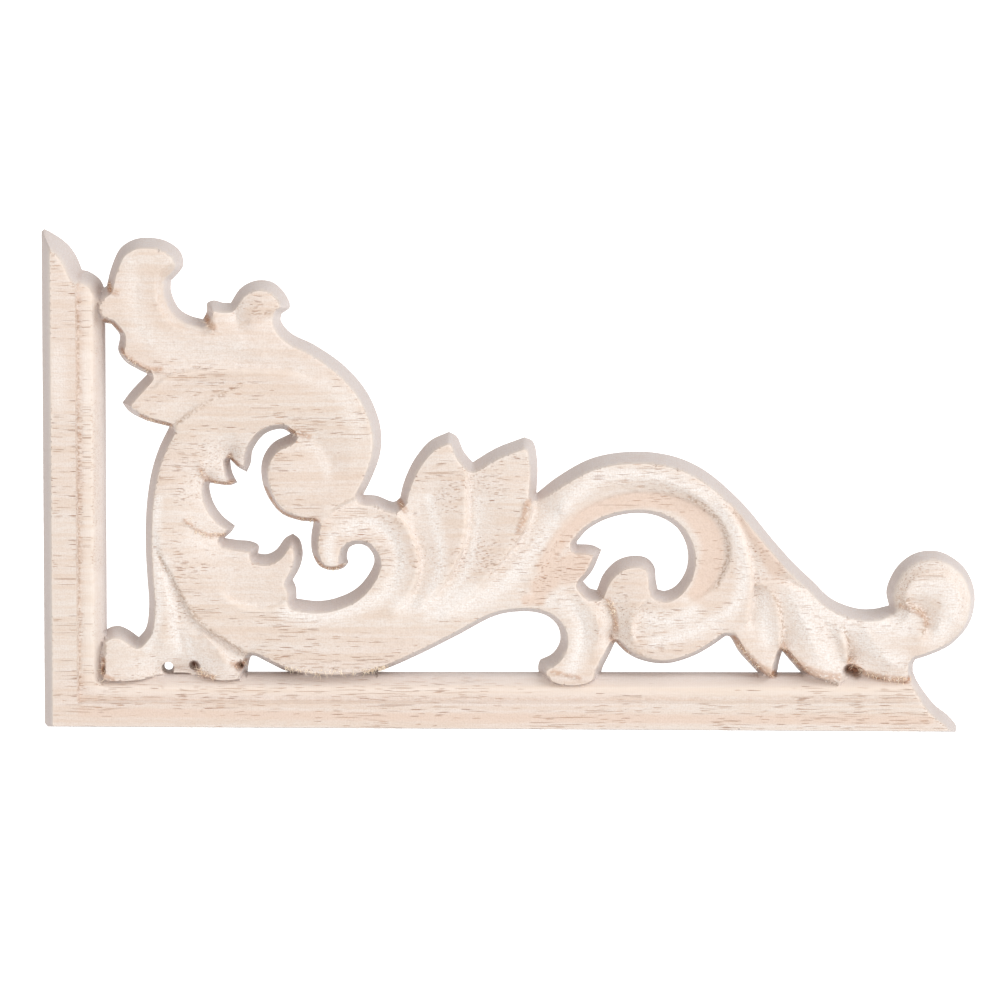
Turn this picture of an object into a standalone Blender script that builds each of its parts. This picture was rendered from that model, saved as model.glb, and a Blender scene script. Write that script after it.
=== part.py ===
"""A carved corner onlay: an L of two flat mouldings with acanthus scrollwork between them, in one board.

X runs right along the long moulding, Z up the short one, and the flat back lies in Y = 0.
The carving stands off the back towards -Y. The origin is on the back, where the mouldings cross.
Run it with blender --background --python part.py.
"""

import math

import bpy
import numpy as np
from mathutils import Vector, geometry

# The drawing: u right, v down, on a fine square grid. A grid step is GRID_X wide and GRID_Z high.
GRID_X = 0.0002
GRID_Z = 0.000201
CORNER_U = 75.0
CORNER_V = 700.0

# Heights above the back, in millimetres.
FACE = 8.6
RAIL_OUTER = 8.6
RAIL_INNER = 7.5
LEAST = 0.25

# The tapered cutter's walls: how far a full-height wall leans in, in millimetres.
WALL_LEAN = 1.75
RAIL_LEAN_LEFT = 2.1
RAIL_LEAN_TOP = 2.6
RAIL_LEAN_INNER = 3.2
RAIL_LEDGE = 4.4
UPRIGHT = 20.0
RAIL_LEAN_END = 1.6
RAIL_LEAN_FOOT = 1.25

# Face lines are drawn as the front shows them, seen from a little above.
FACE_DROP = 4.1
FACE_SPREAD = 1.0056
VIEW_MIDDLE = 500.0

# The moulding across its width, in grid steps: the outer flat ends, the step's foot, the inner flat.
STEP_TOP_U = 75.0
STEP_FOOT_U = 77.8
STEP_TOP_V = 703.6
STEP_FOOT_V = 700.5

OUTLINE_STEP = 1.35
LINE_STEP = 1.5
FACE_STEP = 1.6
RAIL_ROW_STEP = 4.0
RASTER = 0.4
HALF_STEP = 0.35
FILM_REACH = 6.0
FILM_PASSES = 300
ROUND_OFF = 0.8
ROUND_REACH = 2.0
MEETING = 0.6
CREST_LEAN = 0.7
EDGE_GAP = 0.5
FEATURE_GAP = 0.95
LINE_GAP = 0.63
FILL_GAP = 1.06
CREST_FLOOR = 1.0
FILM_PITCHES = (1.0, 0.5, 0.2)
PALE_WOOD = (0.83, 0.7, 0.58, 1)
CDT_EPSILON = 1e-5
CHORD_PASSES = 3

# Each outline is a list of strokes. A stroke of two points is straight, a longer one is a smooth
# curve through its points, and strokes meet in corners.
RAIL_LEFT = [(43, 723), (42.4, 232)]
RAIL_TIP = [(42.4, 232), (45.3, 229.2)]
RAIL_TOP = [(45.3, 229.2), (55.5, 234.7), (68.3, 244.2), (77, 256), (82.9, 270)]
RAIL_TOP_BEAD = [(82.9, 270), (90, 271.8), (101, 280), (105.9, 291)]
RAIL_INNER_SIDE = [(105.9, 291), (105.9, 671)]
RAIL_INNER_FOOT = [(105.9, 671), (913.6, 672)]
RAIL_END = [(913.6, 672), (918, 681.6), (934.6, 704), (949, 715.7), (957.5, 727), (956.5, 732)]
RAIL_FOOT = [(956.5, 732), (46, 726.8)]
RAIL_CORNER = [(46, 726.8), (43, 723)]

SCROLL = [
    # Where the top leaf laps the short moulding, and the curl above it.
    [(111.6, 324), (103, 322), (96, 315), (94, 304), (98, 293), (107.2, 285.7)],
    [(107.2, 285.7), (111.6, 268.5), (121, 248.5), (134.6, 239.8), (150, 238), (167, 241.3),
     (181, 252), (183.6, 266), (176.7, 275.5), (171.6, 280.6)],
    [(171.6, 280.6), (171.5, 291), (179.2, 308), (190, 315.3), (203, 319)],
    [(203, 319), (206.6, 312), (207.3, 303), (214, 300.3), (223, 302.5), (230.8, 302.7)],
    [(230.8, 302.7), (241, 288), (256, 280.6), (272.9, 282.3), (286, 295), (290, 307), (281.8, 313.6)],
    # The back of the great scroll.
    [(281.8, 313.6), (280.8, 320), (290.8, 332.7), (313.7, 344.2), (343.1, 364.6), (367.3, 392.7),
     (380, 426), (380, 452), (371, 478), (362.9, 494)],
    [(362.9, 494), (376, 495), (393.8, 501), (399.5, 497)],
    # Two fan leaves.
    [(399.5, 497), (403.5, 481), (414.2, 458.3), (430, 440), (448.6, 431.2)],
    [(448.6, 431.2), (456.5, 436), (463.3, 450.6), (472.2, 461.5)],
    [(472.2, 461.5), (495.8, 447.4), (524, 436.6)],
    [(524, 436.6), (532.5, 441), (537, 463.2), (536.1, 492.5)],
    # The long arc down to the ball.
    [(536.1, 492.5), (557.4, 475.9), (592, 457.4), (633.9, 451), (672.2, 455.5), (703, 469),
     (741, 501.5), (773, 539.7), (792.5, 561.4), (812, 580), (832, 598.5), (858, 608), (875, 608),
     (888.7, 604.8)],
    [(888.7, 604.8), (886.3, 589.3), (897, 566), (915.8, 552.3), (940, 551.2), (964.3, 567.3),
     (974.7, 593), (970.1, 621.6), (952, 643.5), (930, 654.6), (915.8, 659.1)],
    # Under the last leaf, over the long moulding and back.
    [(915.8, 659.1), (913.4, 664), (913.4, 672)],
    [(913.4, 672), (911, 683), (896, 685), (880, 683), (864, 678), (852, 674)],
    [(852, 674), (847, 682), (841, 690)],
    [(841, 690), (828, 684), (812, 679), (800.5, 671.6), (792.5, 663), (782.3, 651)],
    [(782.3, 651), (779.1, 662.4), (777.3, 671.5), (772, 684)],
    [(772, 684), (762, 676), (748.5, 662.4), (738, 650.5), (729.3, 636.3), (725.5, 635.7)],
    [(725.5, 635.7), (711, 645.8), (692.2, 656.1), (666, 663.2), (641.2, 659.9), (626, 652.3),
     (615, 641.4)],
    [(615, 641.4), (609.3, 653.5), (602.5, 667), (598, 680), (585, 687), (563, 688), (546, 682),
     (538, 671), (538.2, 662.6), (540, 659)],
    [(540, 659), (552.5, 652.5), (559.6, 640), (557.8, 627), (549, 617), (535.5, 612), (517, 611.3),
     (494.8, 615.4), (456.5, 635.2), (418.3, 654.3), (385.7, 668.4), (362, 675), (334, 677.5),
     (304, 675.5),
     (281.6, 669.5)],
    [(281.6, 669.5), (254.8, 655.8)],
    [(254.8, 655.8), (250.8, 655.6), (248.2, 662), (247, 670), (245, 679), (234, 682.5), (216, 682.5),
     (205, 679.5), (196, 676.5), (186, 674.5), (170, 674.5), (158, 677), (146, 681.5), (124, 684),
     (108, 683.5),
     (98, 680), (95.5, 670), (94.5, 655), (97, 641), (101, 632), (110.4, 626.1)],
    # The side that faces the short moulding, upwards.
    [(110.4, 626.1), (118, 625.3), (126.5, 628.6), (137.8, 636.5)],
    [(137.8, 636.5), (144.8, 627.6), (148, 606), (146.3, 575), (144.9, 545), (146.3, 502.4),
     (151.5, 470), (158.5, 448), (169, 426.2)],
    [(169, 426.2), (144.8, 419.5), (128.8, 410.8), (122.2, 402.2)],
    [(122.2, 402.2), (131, 390.7), (147.3, 373.7)],
    [(147.3, 373.7), (135.9, 368), (125.5, 361.5), (118.3, 350), (119.9, 335), (111.6, 324)],
]
SPIRAL_GAP = [
    [(290.2, 433), (283.1, 428.9), (274.1, 429.5), (263, 434.8), (252.4, 449.9), (250.6, 462),
     (246.5, 471.5)],
    [(246.5, 471.5), (238, 467), (229.8, 459)],
    [(229.8, 459), (232, 471.6), (237.1, 482)],
    [(237.1, 482), (230, 484.8), (219, 484), (209.7, 482.4)],
    [(209.7, 482.4), (209.1, 487), (213, 501.5), (222, 515), (234.7, 525.2)],
    [(234.7, 525.2), (231, 531), (224, 537.3)],
    [(224, 537.3), (237.4, 539.3), (250.2, 540.5), (258, 544.5), (257.8, 552.7)],
    [(257.8, 552.7), (266, 553.4), (275.5, 549), (284.6, 537.3), (292.2, 532.9)],
    [(292.2, 532.9), (299, 538.5), (302.3, 552), (299.5, 566), (292.2, 579.4)],
    [(292.2, 579.4), (295.2, 586), (296, 598)],
    [(296, 598), (318, 600.3), (335.6, 597.3), (356, 587.5), (370, 570.5), (373.6, 558), (367, 546.6),
     (357.3, 543.7), (348.8, 547.3), (346.5, 556.5), (348.1, 561.6)],
    [(348.1, 561.6), (343, 567.5), (331, 569.8), (319, 565.8), (311.5, 552), (310.6, 535),
     (312.9, 521.4)],
    [(312.9, 521.4), (298, 519.7), (281, 513), (269, 499), (261.6, 480), (262, 459), (271.8, 443),
     (290.2, 433)],
]
ARC_GAP = [
    [(576.5, 541), (586.7, 529.5), (605, 519), (631.4, 512.9), (655, 515), (676, 526.9), (686.5, 547),
     (686, 568), (675.5, 585), (664.5, 590.1), (657.5, 588.8)],
    [(657.5, 588.8), (655.6, 580), (654, 566), (646.7, 557.6), (634, 555), (617, 559.5), (603.3, 572.9),
     (596.3, 589.4)],
    [(596.3, 589.4), (589.3, 587.5), (582.9, 581)],
    [(582.9, 581), (592, 570), (601.2, 549)],
    [(601.2, 549), (592, 544.5), (576.5, 543.5)],
    [(576.5, 543.5), (576.5, 541)],
]
DRILLED = (167.8, 665.0, 4.2)

# Ridges and hollows of the face: the line, then the heights spread along it, in millimetres.
FOLDS = [
    ([(133, 406), (142, 397), (155, 388), (163, 380)], (8.7, 8.7)),
    ([(150, 412), (172, 402), (196, 391), (222, 381)], (7.9, 7.8, 8.2)),
    ([(165, 362), (195, 357), (230, 354), (262, 357)], (8.1, 7.7, 7.7, 8.2)),
    ([(147, 347), (176, 341), (205, 341), (240, 337)], (8.5, 8.5)),
    ([(128, 318), (138, 330), (147, 347)], (8.5, 8.2, 8.4)),
    ([(140, 278), (134, 300), (136, 318)], (8.2, 8.0, 8.4)),
    ([(166, 277), (160, 298), (168, 316), (186, 330), (205, 335)], (8.6, 8.6)),
    ([(234, 305), (236, 316), (238, 328)], (7.5, 7.2, 7.8)),
    ([(250, 322), (264, 311), (281, 308)], (8.6, 8.6)),
    ([(261, 327), (271, 319), (284, 318)], (7.9, 7.7, 7.9)),
    ([(236, 433), (231, 446), (229.5, 458)], (8.3, 7.2, 4.6)),
    ([(198, 464), (205, 472), (209, 482)], (8.3, 7.2, 5.0)),
    ([(184, 519), (194, 531), (208, 536.5), (224, 538)], (8.3, 7.4, 6.6, 5.4)),
    ([(182, 602), (185, 620), (193, 640)], (7.3, 7.5, 7.9)),
    ([(157, 556), (163, 590), (165, 615), (162, 645)], (8.2, 8.3, 8.3, 8.1)),
    ([(176, 630), (179, 644), (180, 656)], (7.6, 7.1, 6.8)),
    ([(200, 633), (215, 648), (225, 664)], (8.2, 8.2)),
    ([(157, 674), (168, 672.5), (182, 672.5), (195, 674)], (5.4, 4.8, 4.8, 5.4)),
    ([(340, 524), (365, 522), (386, 533), (396, 553), (393, 578), (380, 600)],
      (8.2, 7.7, 7.5, 7.5, 7.7, 8.2)),
    ([(440, 488), (424, 505), (412, 516)], (7.8, 7.3, 7.0)),
    ([(560, 510), (590, 484), (625, 475), (668, 480), (706, 500)], (8.7, 8.7)),
    ([(600, 507), (640, 501), (676, 508), (702, 527), (710, 552), (700, 580)], (7.1, 7.1)),
    ([(735, 510), (760, 536), (785, 566), (804, 588)], (8.5, 8.5)),
    ([(762, 600), (766, 624), (770, 652)], (7.9, 7.9, 8.0)),
    ([(795, 602), (806, 626), (818, 656)], (8.5, 8.5)),
    ([(826, 624), (836, 644), (841, 664)], (8.0, 7.9, 7.6)),
    ([(866, 630), (880, 650), (892, 664)], (8.5, 8.4, 8.2)),
    ([(872, 677), (890, 680), (911, 680)], (6.8, 7.0)),
    ([(938, 588), (947, 606), (938, 628)], (8.4, 8.4)),
    ([(601, 600), (608, 612), (612, 626), (611, 639)], (7.8, 6.6, 6.0, 4.8)),
    ([(580, 598), (593, 612), (598, 632), (594, 656)], (8.5, 8.5)),
    ([(558, 602), (575, 612), (583, 632), (578, 656)], (8.2, 7.6, 7.5, 8.0)),
    ([(532, 594), (551, 577), (574, 560), (590, 553)], (7.5, 7.3, 7.2)),
    ([(300, 434), (318, 444), (330, 462), (332, 480)], (8.0, 7.8, 7.9, 8.3)),
    ([(330, 392), (352, 430), (348, 468)], (8.6, 8.6)),
    ([(903, 602), (904, 588), (913, 576), (929, 570), (946, 572), (957, 582), (960, 600), (952, 620)],
      (8.6, 8.6)),
    ([(895, 593), (903, 577), (919, 566), (939, 565), (957, 577), (965, 598), (961, 621), (947, 639)],
      (7.5, 7.7)),
]
# Steps of the face: the line, the high side's heights, the low side's, and a point on the low side.
STEPS = [
    ([(172, 426), (184, 418), (196, 406.5), (213, 397.6), (238, 386), (262, 378)],
     (8.6, 8.6), (7.4, 8.1, 8.3, 8.5), (190, 400)),
    ([(152, 392), (166, 377), (192, 370), (218, 367.3), (252, 368.6), (286, 371), (312, 378)],
     (8.7, 8.7), (8.4, 7.7, 7.5, 7.6, 7.8, 8.4), (230, 355)),
    ([(219, 588), (228, 598), (240, 604.5), (258, 608), (274, 605.5), (284, 600), (290, 591)],
     (8.6, 8.6), (8.4, 7.8, 7.6, 7.6, 7.8, 8.4), (250, 590)),
    ([(155.7, 530), (158.4, 551.6), (170.6, 576), (181.4, 600), (195, 622), (219, 638), (243, 653)],
     (8.5, 8.6, 8.6, 8.5), (8.4, 8.0, 7.7, 7.4, 7.2, 6.9, 6.4), (165, 600)),
    ([(393, 508), (408, 526), (415.8, 544), (419.6, 561.7), (417, 579.6), (408, 597.4), (394, 614)],
     (8.6, 8.6), (8.3, 7.2, 6.8, 6.8, 7.1, 7.7, 8.3), (436, 566)),
    ([(468, 473), (466.8, 498), (466.8, 523.5), (461.7, 551.5), (451.5, 572), (438.8, 589.8),
      (420, 606)],
     (8.6, 8.6), (7.6, 7.0, 6.8, 6.9, 7.2, 7.7, 8.3), (485, 530)),
    ([(535, 494), (531, 512), (526, 527), (517, 541), (505, 557), (490, 575), (470, 597), (446, 616)],
     (8.6, 8.6), (5.4, 6.6, 7.2, 7.5, 7.7, 7.9, 8.1, 8.4), (520, 560)),
    ([(529, 585.6), (538, 574), (548.5, 557.6), (556, 542), (569, 523), (583, 509), (602, 499),
      (621, 493), (640, 491.5), (660, 492), (685, 499), (704, 509), (716.5, 518), (724, 529.5),
      (728.6, 545),
      (728.6, 557.6), (723, 574), (711, 589.4), (693.6, 599.6), (665, 602)],
     (8.2, 7.9, 7.8, 7.7, 7.8, 8.1, 8.1, 8.3), (8.0, 7.4, 7.1, 7.0, 6.9, 6.8, 7.0, 8.1), (640, 530)),
    ([(721.6, 501), (734.4, 517), (743, 536), (750, 558), (753.5, 583), (752, 602), (748, 622)],
     (8.6, 8.6), (8.5, 8.0, 7.7, 7.4, 7.2, 7.0, 6.8), (790, 560)),
    ([(757, 583), (770, 579.5), (784, 581.5), (796, 587), (808, 594)],
     (8.6, 8.6), (7.4, 7.5, 7.8, 8.0, 8.4), (780, 560)),
    ([(773, 590), (779, 606), (782, 626), (783, 646)], (8.6, 8.6, 8.4), (8.4, 7.6, 7.0, 6.0),
      (792, 625)),
    ([(842, 628), (846, 640), (849, 650), (849, 660)], (8.6, 8.5, 8.2), (8.4, 7.2, 6.2, 4.6),
      (858, 645)),
    ([(903, 605), (913, 606), (921, 610), (926, 618), (926, 629), (921, 640)],
     (8.7, 8.7), (8.2, 7.2, 6.9, 6.9, 7.3, 8.2), (940, 606)),
    ([(656, 592), (648, 599), (640, 609), (634.5, 619), (633, 632), (637, 641)],
     (8.6, 8.6), (8.4, 7.8, 7.4, 7.4, 7.8, 8.4), (655, 620)),
    ([(324, 517), (335, 508), (350, 500), (364, 495)], (8.6, 8.6), (8.0, 7.5, 7.4, 7.2), (345, 515)),
]
# Plunges of the cutter: the path, the tip's radius and what it leaves above the back, in millimetres.
PLUNGES = [
    ([(192, 667), (193, 668)], 0.15, 1.5),
    ([(239, 667), (240, 668)], 0.1, 2.4),
    ([(851, 672), (858, 675)], 0.4, 1.4),
    ([(101.5, 640), (100.2, 656), (102.5, 673)], 0.05, 3.4),
]
# Broad shoulders and torn slopes: the line along the foot, the height there, the rise per millimetre.
SHOULDERS = [
    ([(890, 603), (886.3, 589.3), (897, 566), (915.8, 552.3), (940, 551.2), (964.3, 567.3),
      (974.7, 593), (970.1, 621.6), (952, 643.5)], 5.8, 0.75),
    ([(178, 274), (171.6, 280.6), (171.5, 291), (179.2, 308), (190, 315.3), (203, 319)], 5.4, 1.1),
    ([(281.8, 313.6), (280.8, 320), (290.8, 332.7)], 6.2, 1.2),
    ([(772, 684), (762, 676), (748.5, 662.4), (738, 650.5), (729.3, 636.3)], 4.4, 2.2),
    ([(841, 690), (828, 684), (812, 679), (800.5, 671.6), (792.5, 663), (782.3, 651)], 4.4, 2.2),
    ([(852, 674), (864, 678), (880, 683)], 2.4, 2.2),
    ([(615, 641.4), (626, 652.3), (641.2, 659.9)], 5.0, 1.8),
]


def smooth(points, step):
    """A curve through the points, sampled about every step; two points give a straight line."""
    points = [np.array(p, float) for p in points]
    if len(points) > 2:
        ends = [2 * points[0] - points[1]] + points + [2 * points[-1] - points[-2]]
    curve = []
    for i in range(len(points) - 1):
        count = max(1, round(np.linalg.norm(points[i + 1] - points[i]) / step))
        for t in np.arange(count) / count:
            if len(points) == 2:
                curve.append(points[0] + t * (points[1] - points[0]))
            else:
                curve.append(through(ends[i:i + 4], t))
    return np.array(curve + [points[-1]])


def through(four, t):
    """The point a share t of the way from the second to the third of four, on a centripetal spline."""
    a, b, c, d = four
    t1 = np.linalg.norm(b - a) ** 0.5
    t2 = t1 + np.linalg.norm(c - b) ** 0.5
    t3 = t2 + np.linalg.norm(d - c) ** 0.5
    at = t1 + t * (t2 - t1)
    ab = a + (b - a) * at / t1
    bc = b + (c - b) * (at - t1) / (t2 - t1)
    cd = c + (d - c) * (at - t2) / (t3 - t2)
    abc = ab + (bc - ab) * at / t2
    bcd = bc + (cd - bc) * (at - t1) / (t3 - t1)
    return abc + (bcd - abc) * (at - t1) / (t2 - t1)


def to_mm(points):
    """Drawing points as (x, z) in millimetres."""
    points = np.asarray(points, float)
    return np.stack([(points[:, 0] - CORNER_U) * GRID_X, (CORNER_V - points[:, 1]) * GRID_Z], 1) * 1000


def face_to_mm(points):
    """Face-line points, moved back over the outline, as (x, z) in millimetres."""
    points = np.asarray(points, float)
    over = VIEW_MIDDLE + (points - VIEW_MIDDLE) / FACE_SPREAD
    return to_mm(over - [0, FACE_DROP])


def loop_of(strokes, step=OUTLINE_STEP):
    """The strokes as one closed loop of (x, z) points, its last point not repeated."""
    return np.concatenate([smooth(to_mm(stroke), step)[:-1] for stroke in strokes])


def circle(middle_u, middle_v, radius, count=12):
    turn = np.arange(count) * math.tau / count
    return to_mm(np.stack([middle_u + radius * np.cos(turn), middle_v + radius * np.sin(turn)], 1))


def edges_of(loop):
    return loop, np.roll(loop, -1, axis=0)


def inside(points, loops):
    """Whether each point is inside the loops, by the even-odd rule."""
    odd = np.zeros(len(points), bool)
    for loop in loops:
        for (ax, az), (bx, bz) in zip(*edges_of(loop)):
            if az != bz:
                crosses = (az > points[:, 1]) != (bz > points[:, 1])
                odd ^= crosses & (points[:, 0] < ax + (points[:, 1] - az) * (bx - ax) / (bz - az))
    return odd


def nearest(points, starts, ends):
    """Each point's distance to the nearest of the segments."""
    best = np.full(len(points), 1e9)
    for a, b in zip(starts, ends):
        along = b - a
        share = np.clip((points - a) @ along / max(along @ along, 1e-12), 0, 1)
        gap = points - a - share[:, None] * along
        best = np.minimum(best, np.einsum("ij,ij->i", gap, gap))
    return np.sqrt(best)


def line_distance(points, line):
    return nearest(points, line[:-1], line[1:])


def shares(line):
    """How far along the line each of its points lies, from 0 to 1."""
    run = np.concatenate([[0], np.cumsum(np.linalg.norm(np.diff(line, axis=0), axis=1))])
    return run / run[-1]


def heights_along(line, heights):
    """The heights, spread evenly along the line, at each of its points."""
    return np.interp(shares(line), np.linspace(0, 1, len(heights)), heights)


def sideways(line):
    """The unit normal at each point of the line, to the left of its run."""
    run = np.gradient(line, axis=0)
    run /= np.linalg.norm(run, axis=1)[:, None]
    return np.stack([-run[:, 1], run[:, 0]], 1)


def step_rows(step, spacing, half):
    """The rows of points along a step's high and low edges, with the heights along them."""
    points, high, low, low_point = step
    line = smooth(face_to_mm(points), spacing)
    across = sideways(line)
    middle = len(line) // 2
    if (face_to_mm([low_point])[0] - line[middle]) @ across[middle] > 0:
        across = -across
    rise = half * across
    return (line + rise, heights_along(line, high)), (line - rise, heights_along(line, low))


class Film:
    """A film stretched over the scrollwork's face lines, as a raster of heights."""

    def __init__(self, loops):
        corners = np.concatenate(loops)
        self.low = corners.min(axis=0) - 2
        self.size = corners.max(axis=0) + 2 - self.low
        self.heights = None
        for pitch in FILM_PITCHES:
            self.solve(loops, pitch)

    def solve(self, loops, pitch):
        across, up = (int(side / pitch) + 2 for side in self.size)
        x = self.low[0] + pitch * np.arange(across)
        z = self.low[1] + pitch * np.arange(up)
        nodes = np.stack(np.meshgrid(x, z), -1).reshape(-1, 2)
        start = np.full(len(nodes), FACE) if self.heights is None else self.at(nodes)
        start = start.reshape(up, across)
        solid = inside(nodes, loops).reshape(up, across)
        for shift in (1, -1):
            solid = solid | np.roll(solid, shift, 0) | np.roll(solid, shift, 1)
        held = np.zeros((up, across))
        count = np.zeros((up, across))
        for line, values in self.held_lines(pitch):
            cell = np.round((line - self.low) / pitch).astype(int)
            keep = (cell >= 0).all(axis=1) & (cell[:, 0] < across) & (cell[:, 1] < up)
            np.add.at(held, (cell[keep, 1], cell[keep, 0]), values[keep])
            np.add.at(count, (cell[keep, 1], cell[keep, 0]), 1)
        fixed = count > 0
        start[fixed] = held[fixed] / count[fixed]
        self.pitch = pitch
        self.heights = relax(start, solid, fixed, (pitch / FILM_REACH) ** 2)

    def held_lines(self, pitch):
        for points, heights in FOLDS:
            line = smooth(face_to_mm(points), pitch / 2)
            yield line, heights_along(line, heights)
        for step in STEPS:
            yield from step_rows(step, pitch / 2, HALF_STEP + pitch / 2)

    def at(self, points):
        """The film's height at each point, between the four raster nodes round it."""
        place = (points - self.low) / self.pitch
        up, across = self.heights.shape
        place = np.clip(place, 0, [across - 1.001, up - 1.001])
        cell = place.astype(int)
        rx, rz = (place - cell).T
        i, j = cell[:, 1], cell[:, 0]
        h = self.heights
        lower = h[i, j] * (1 - rx) + h[i, j + 1] * rx
        upper = h[i + 1, j] * (1 - rx) + h[i + 1, j + 1] * rx
        return lower * (1 - rz) + upper * rz


def relax(height, solid, fixed, pull):
    """The heights evened out within the solid, the fixed ones held, the rest drawn to the face."""
    keep = height.copy()
    weight = solid.astype(float)
    around = sum(np.roll(weight, shift, axis) for shift in (1, -1) for axis in (0, 1))
    for _ in range(FILM_PASSES):
        known = height * weight
        total = sum(np.roll(known, shift, axis) for shift in (1, -1) for axis in (0, 1))
        height = (total + pull * FACE) / (around + pull)
        height[fixed] = keep[fixed]
    return height


def wall_height(gap, lean, ledge):
    """A wall's height at a gap from its foot: upright to its ledge, then leaning to the face."""
    return np.minimum(ledge + gap * (FACE - ledge) / lean, gap * UPRIGHT)


class Carving:
    """The heights of both mouldings and of the scrollwork over the flat back."""

    def __init__(self):
        self.rail_strokes = [
            (smooth(to_mm(stroke), OUTLINE_STEP), lean, ledge)
            for stroke, lean, ledge in (
                (RAIL_LEFT, RAIL_LEAN_LEFT, 0), (RAIL_TIP, RAIL_LEAN_TOP, 0),
                (RAIL_TOP, RAIL_LEAN_TOP, 0),
                (RAIL_TOP_BEAD, RAIL_LEAN_TOP, 0), (RAIL_INNER_SIDE, RAIL_LEAN_INNER, RAIL_LEDGE),
                (RAIL_INNER_FOOT, RAIL_LEAN_INNER, RAIL_LEDGE), (RAIL_END, RAIL_LEAN_END, 0),
                (RAIL_FOOT, RAIL_LEAN_FOOT, 0), (RAIL_CORNER, RAIL_LEAN_FOOT, 0),
            )
        ]
        self.rail = [np.concatenate([stroke[:-1] for stroke, *_ in self.rail_strokes])]
        self.scroll = [loop_of(SCROLL), loop_of(SPIRAL_GAP), loop_of(ARC_GAP), circle(*DRILLED)]
        self.film = Film(self.scroll)
        self.plunges = [
            (smooth(face_to_mm(path), OUTLINE_STEP), tip, floor) for path, tip, floor in PLUNGES
        ]
        self.shoulders = [
            (smooth(to_mm(line), OUTLINE_STEP), foot, rise) for line, foot, rise in SHOULDERS
        ]

    def rail_forms(self, points):
        """The moulding's profile and its walls' height at each point, the walls below 0 outside it."""
        top_u, foot_u = face_to_mm([(STEP_TOP_U, 0), (STEP_FOOT_U, 0)])[:, 0]
        top_v, foot_v = face_to_mm([(0, STEP_TOP_V), (0, STEP_FOOT_V)])[:, 1]
        across = np.clip((points[:, 0] - top_u) / (foot_u - top_u), 0, 1)
        up = np.clip((points[:, 1] - top_v) / (foot_v - top_v), 0, 1)
        face = RAIL_OUTER - (RAIL_OUTER - RAIL_INNER) * np.minimum(across, up)
        wall = np.min([
            wall_height(line_distance(points, line), lean, ledge)
            for line, lean, ledge in self.rail_strokes
        ], axis=0)
        return face, np.where(inside(points, self.rail), wall, -1)

    def scroll_forms(self, points):
        """The scrollwork's face and its walls' height at each point, the walls below 0 outside it."""
        gap = np.min([nearest(points, *edges_of(loop)) for loop in self.scroll], axis=0)
        face = self.film.at(points) - ROUND_OFF * np.exp(-gap / ROUND_REACH)
        for line, foot, rise in self.shoulders:
            face = np.minimum(face, foot + rise * line_distance(points, line))
        return face, np.where(inside(points, self.scroll), gap * FACE / WALL_LEAN, -1)

    def plunge_at(self, points):
        return np.min([
            floor + np.maximum(line_distance(points, path) - tip, 0) * FACE / WALL_LEAN
            for path, tip, floor in self.plunges
        ], axis=0)

    def height(self, points):
        rail = np.minimum(*self.rail_forms(points))
        scroll = np.minimum(*self.scroll_forms(points))
        return np.minimum(np.maximum(rail, scroll), self.plunge_at(points))


def crossings(values, x, z, wanted):
    """Where the raster's values pass through 0 between neighbours that are both wanted."""
    found = []
    for axis in (0, 1):
        first = [slice(None), slice(None)]
        second = [slice(None), slice(None)]
        first[axis], second[axis] = slice(None, -1), slice(1, None)
        a, b = values[tuple(first)], values[tuple(second)]
        i, j = np.nonzero((a * b < 0) & wanted[tuple(first)] & wanted[tuple(second)])
        share = a[i, j] / (a[i, j] - b[i, j])
        pitch = x[1] - x[0]
        found.append(np.stack([x[j] + share * pitch * axis, z[i] + share * pitch * (1 - axis)], 1))
    return np.concatenate(found)


class Spread:
    """Points kept at least a given gap apart, found by the square of a grid that they fall in."""

    def __init__(self, points):
        self.points = []
        self.cells = {}
        for point in points:
            self.put(point)

    def cell(self, point):
        return math.floor(point[0]), math.floor(point[1])

    def put(self, point):
        self.cells.setdefault(self.cell(point), []).append(point)
        self.points.append(point)

    def add(self, points, gap):
        reach = math.ceil(gap)
        for point in points:
            i, j = self.cell(point)
            near = (
                other
                for di in range(-reach, reach + 1)
                for dj in range(-reach, reach + 1)
                for other in self.cells.get((i + di, j + dj), ())
            )
            if all(math.dist(point, other) >= gap for other in near):
                self.put(point)


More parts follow.
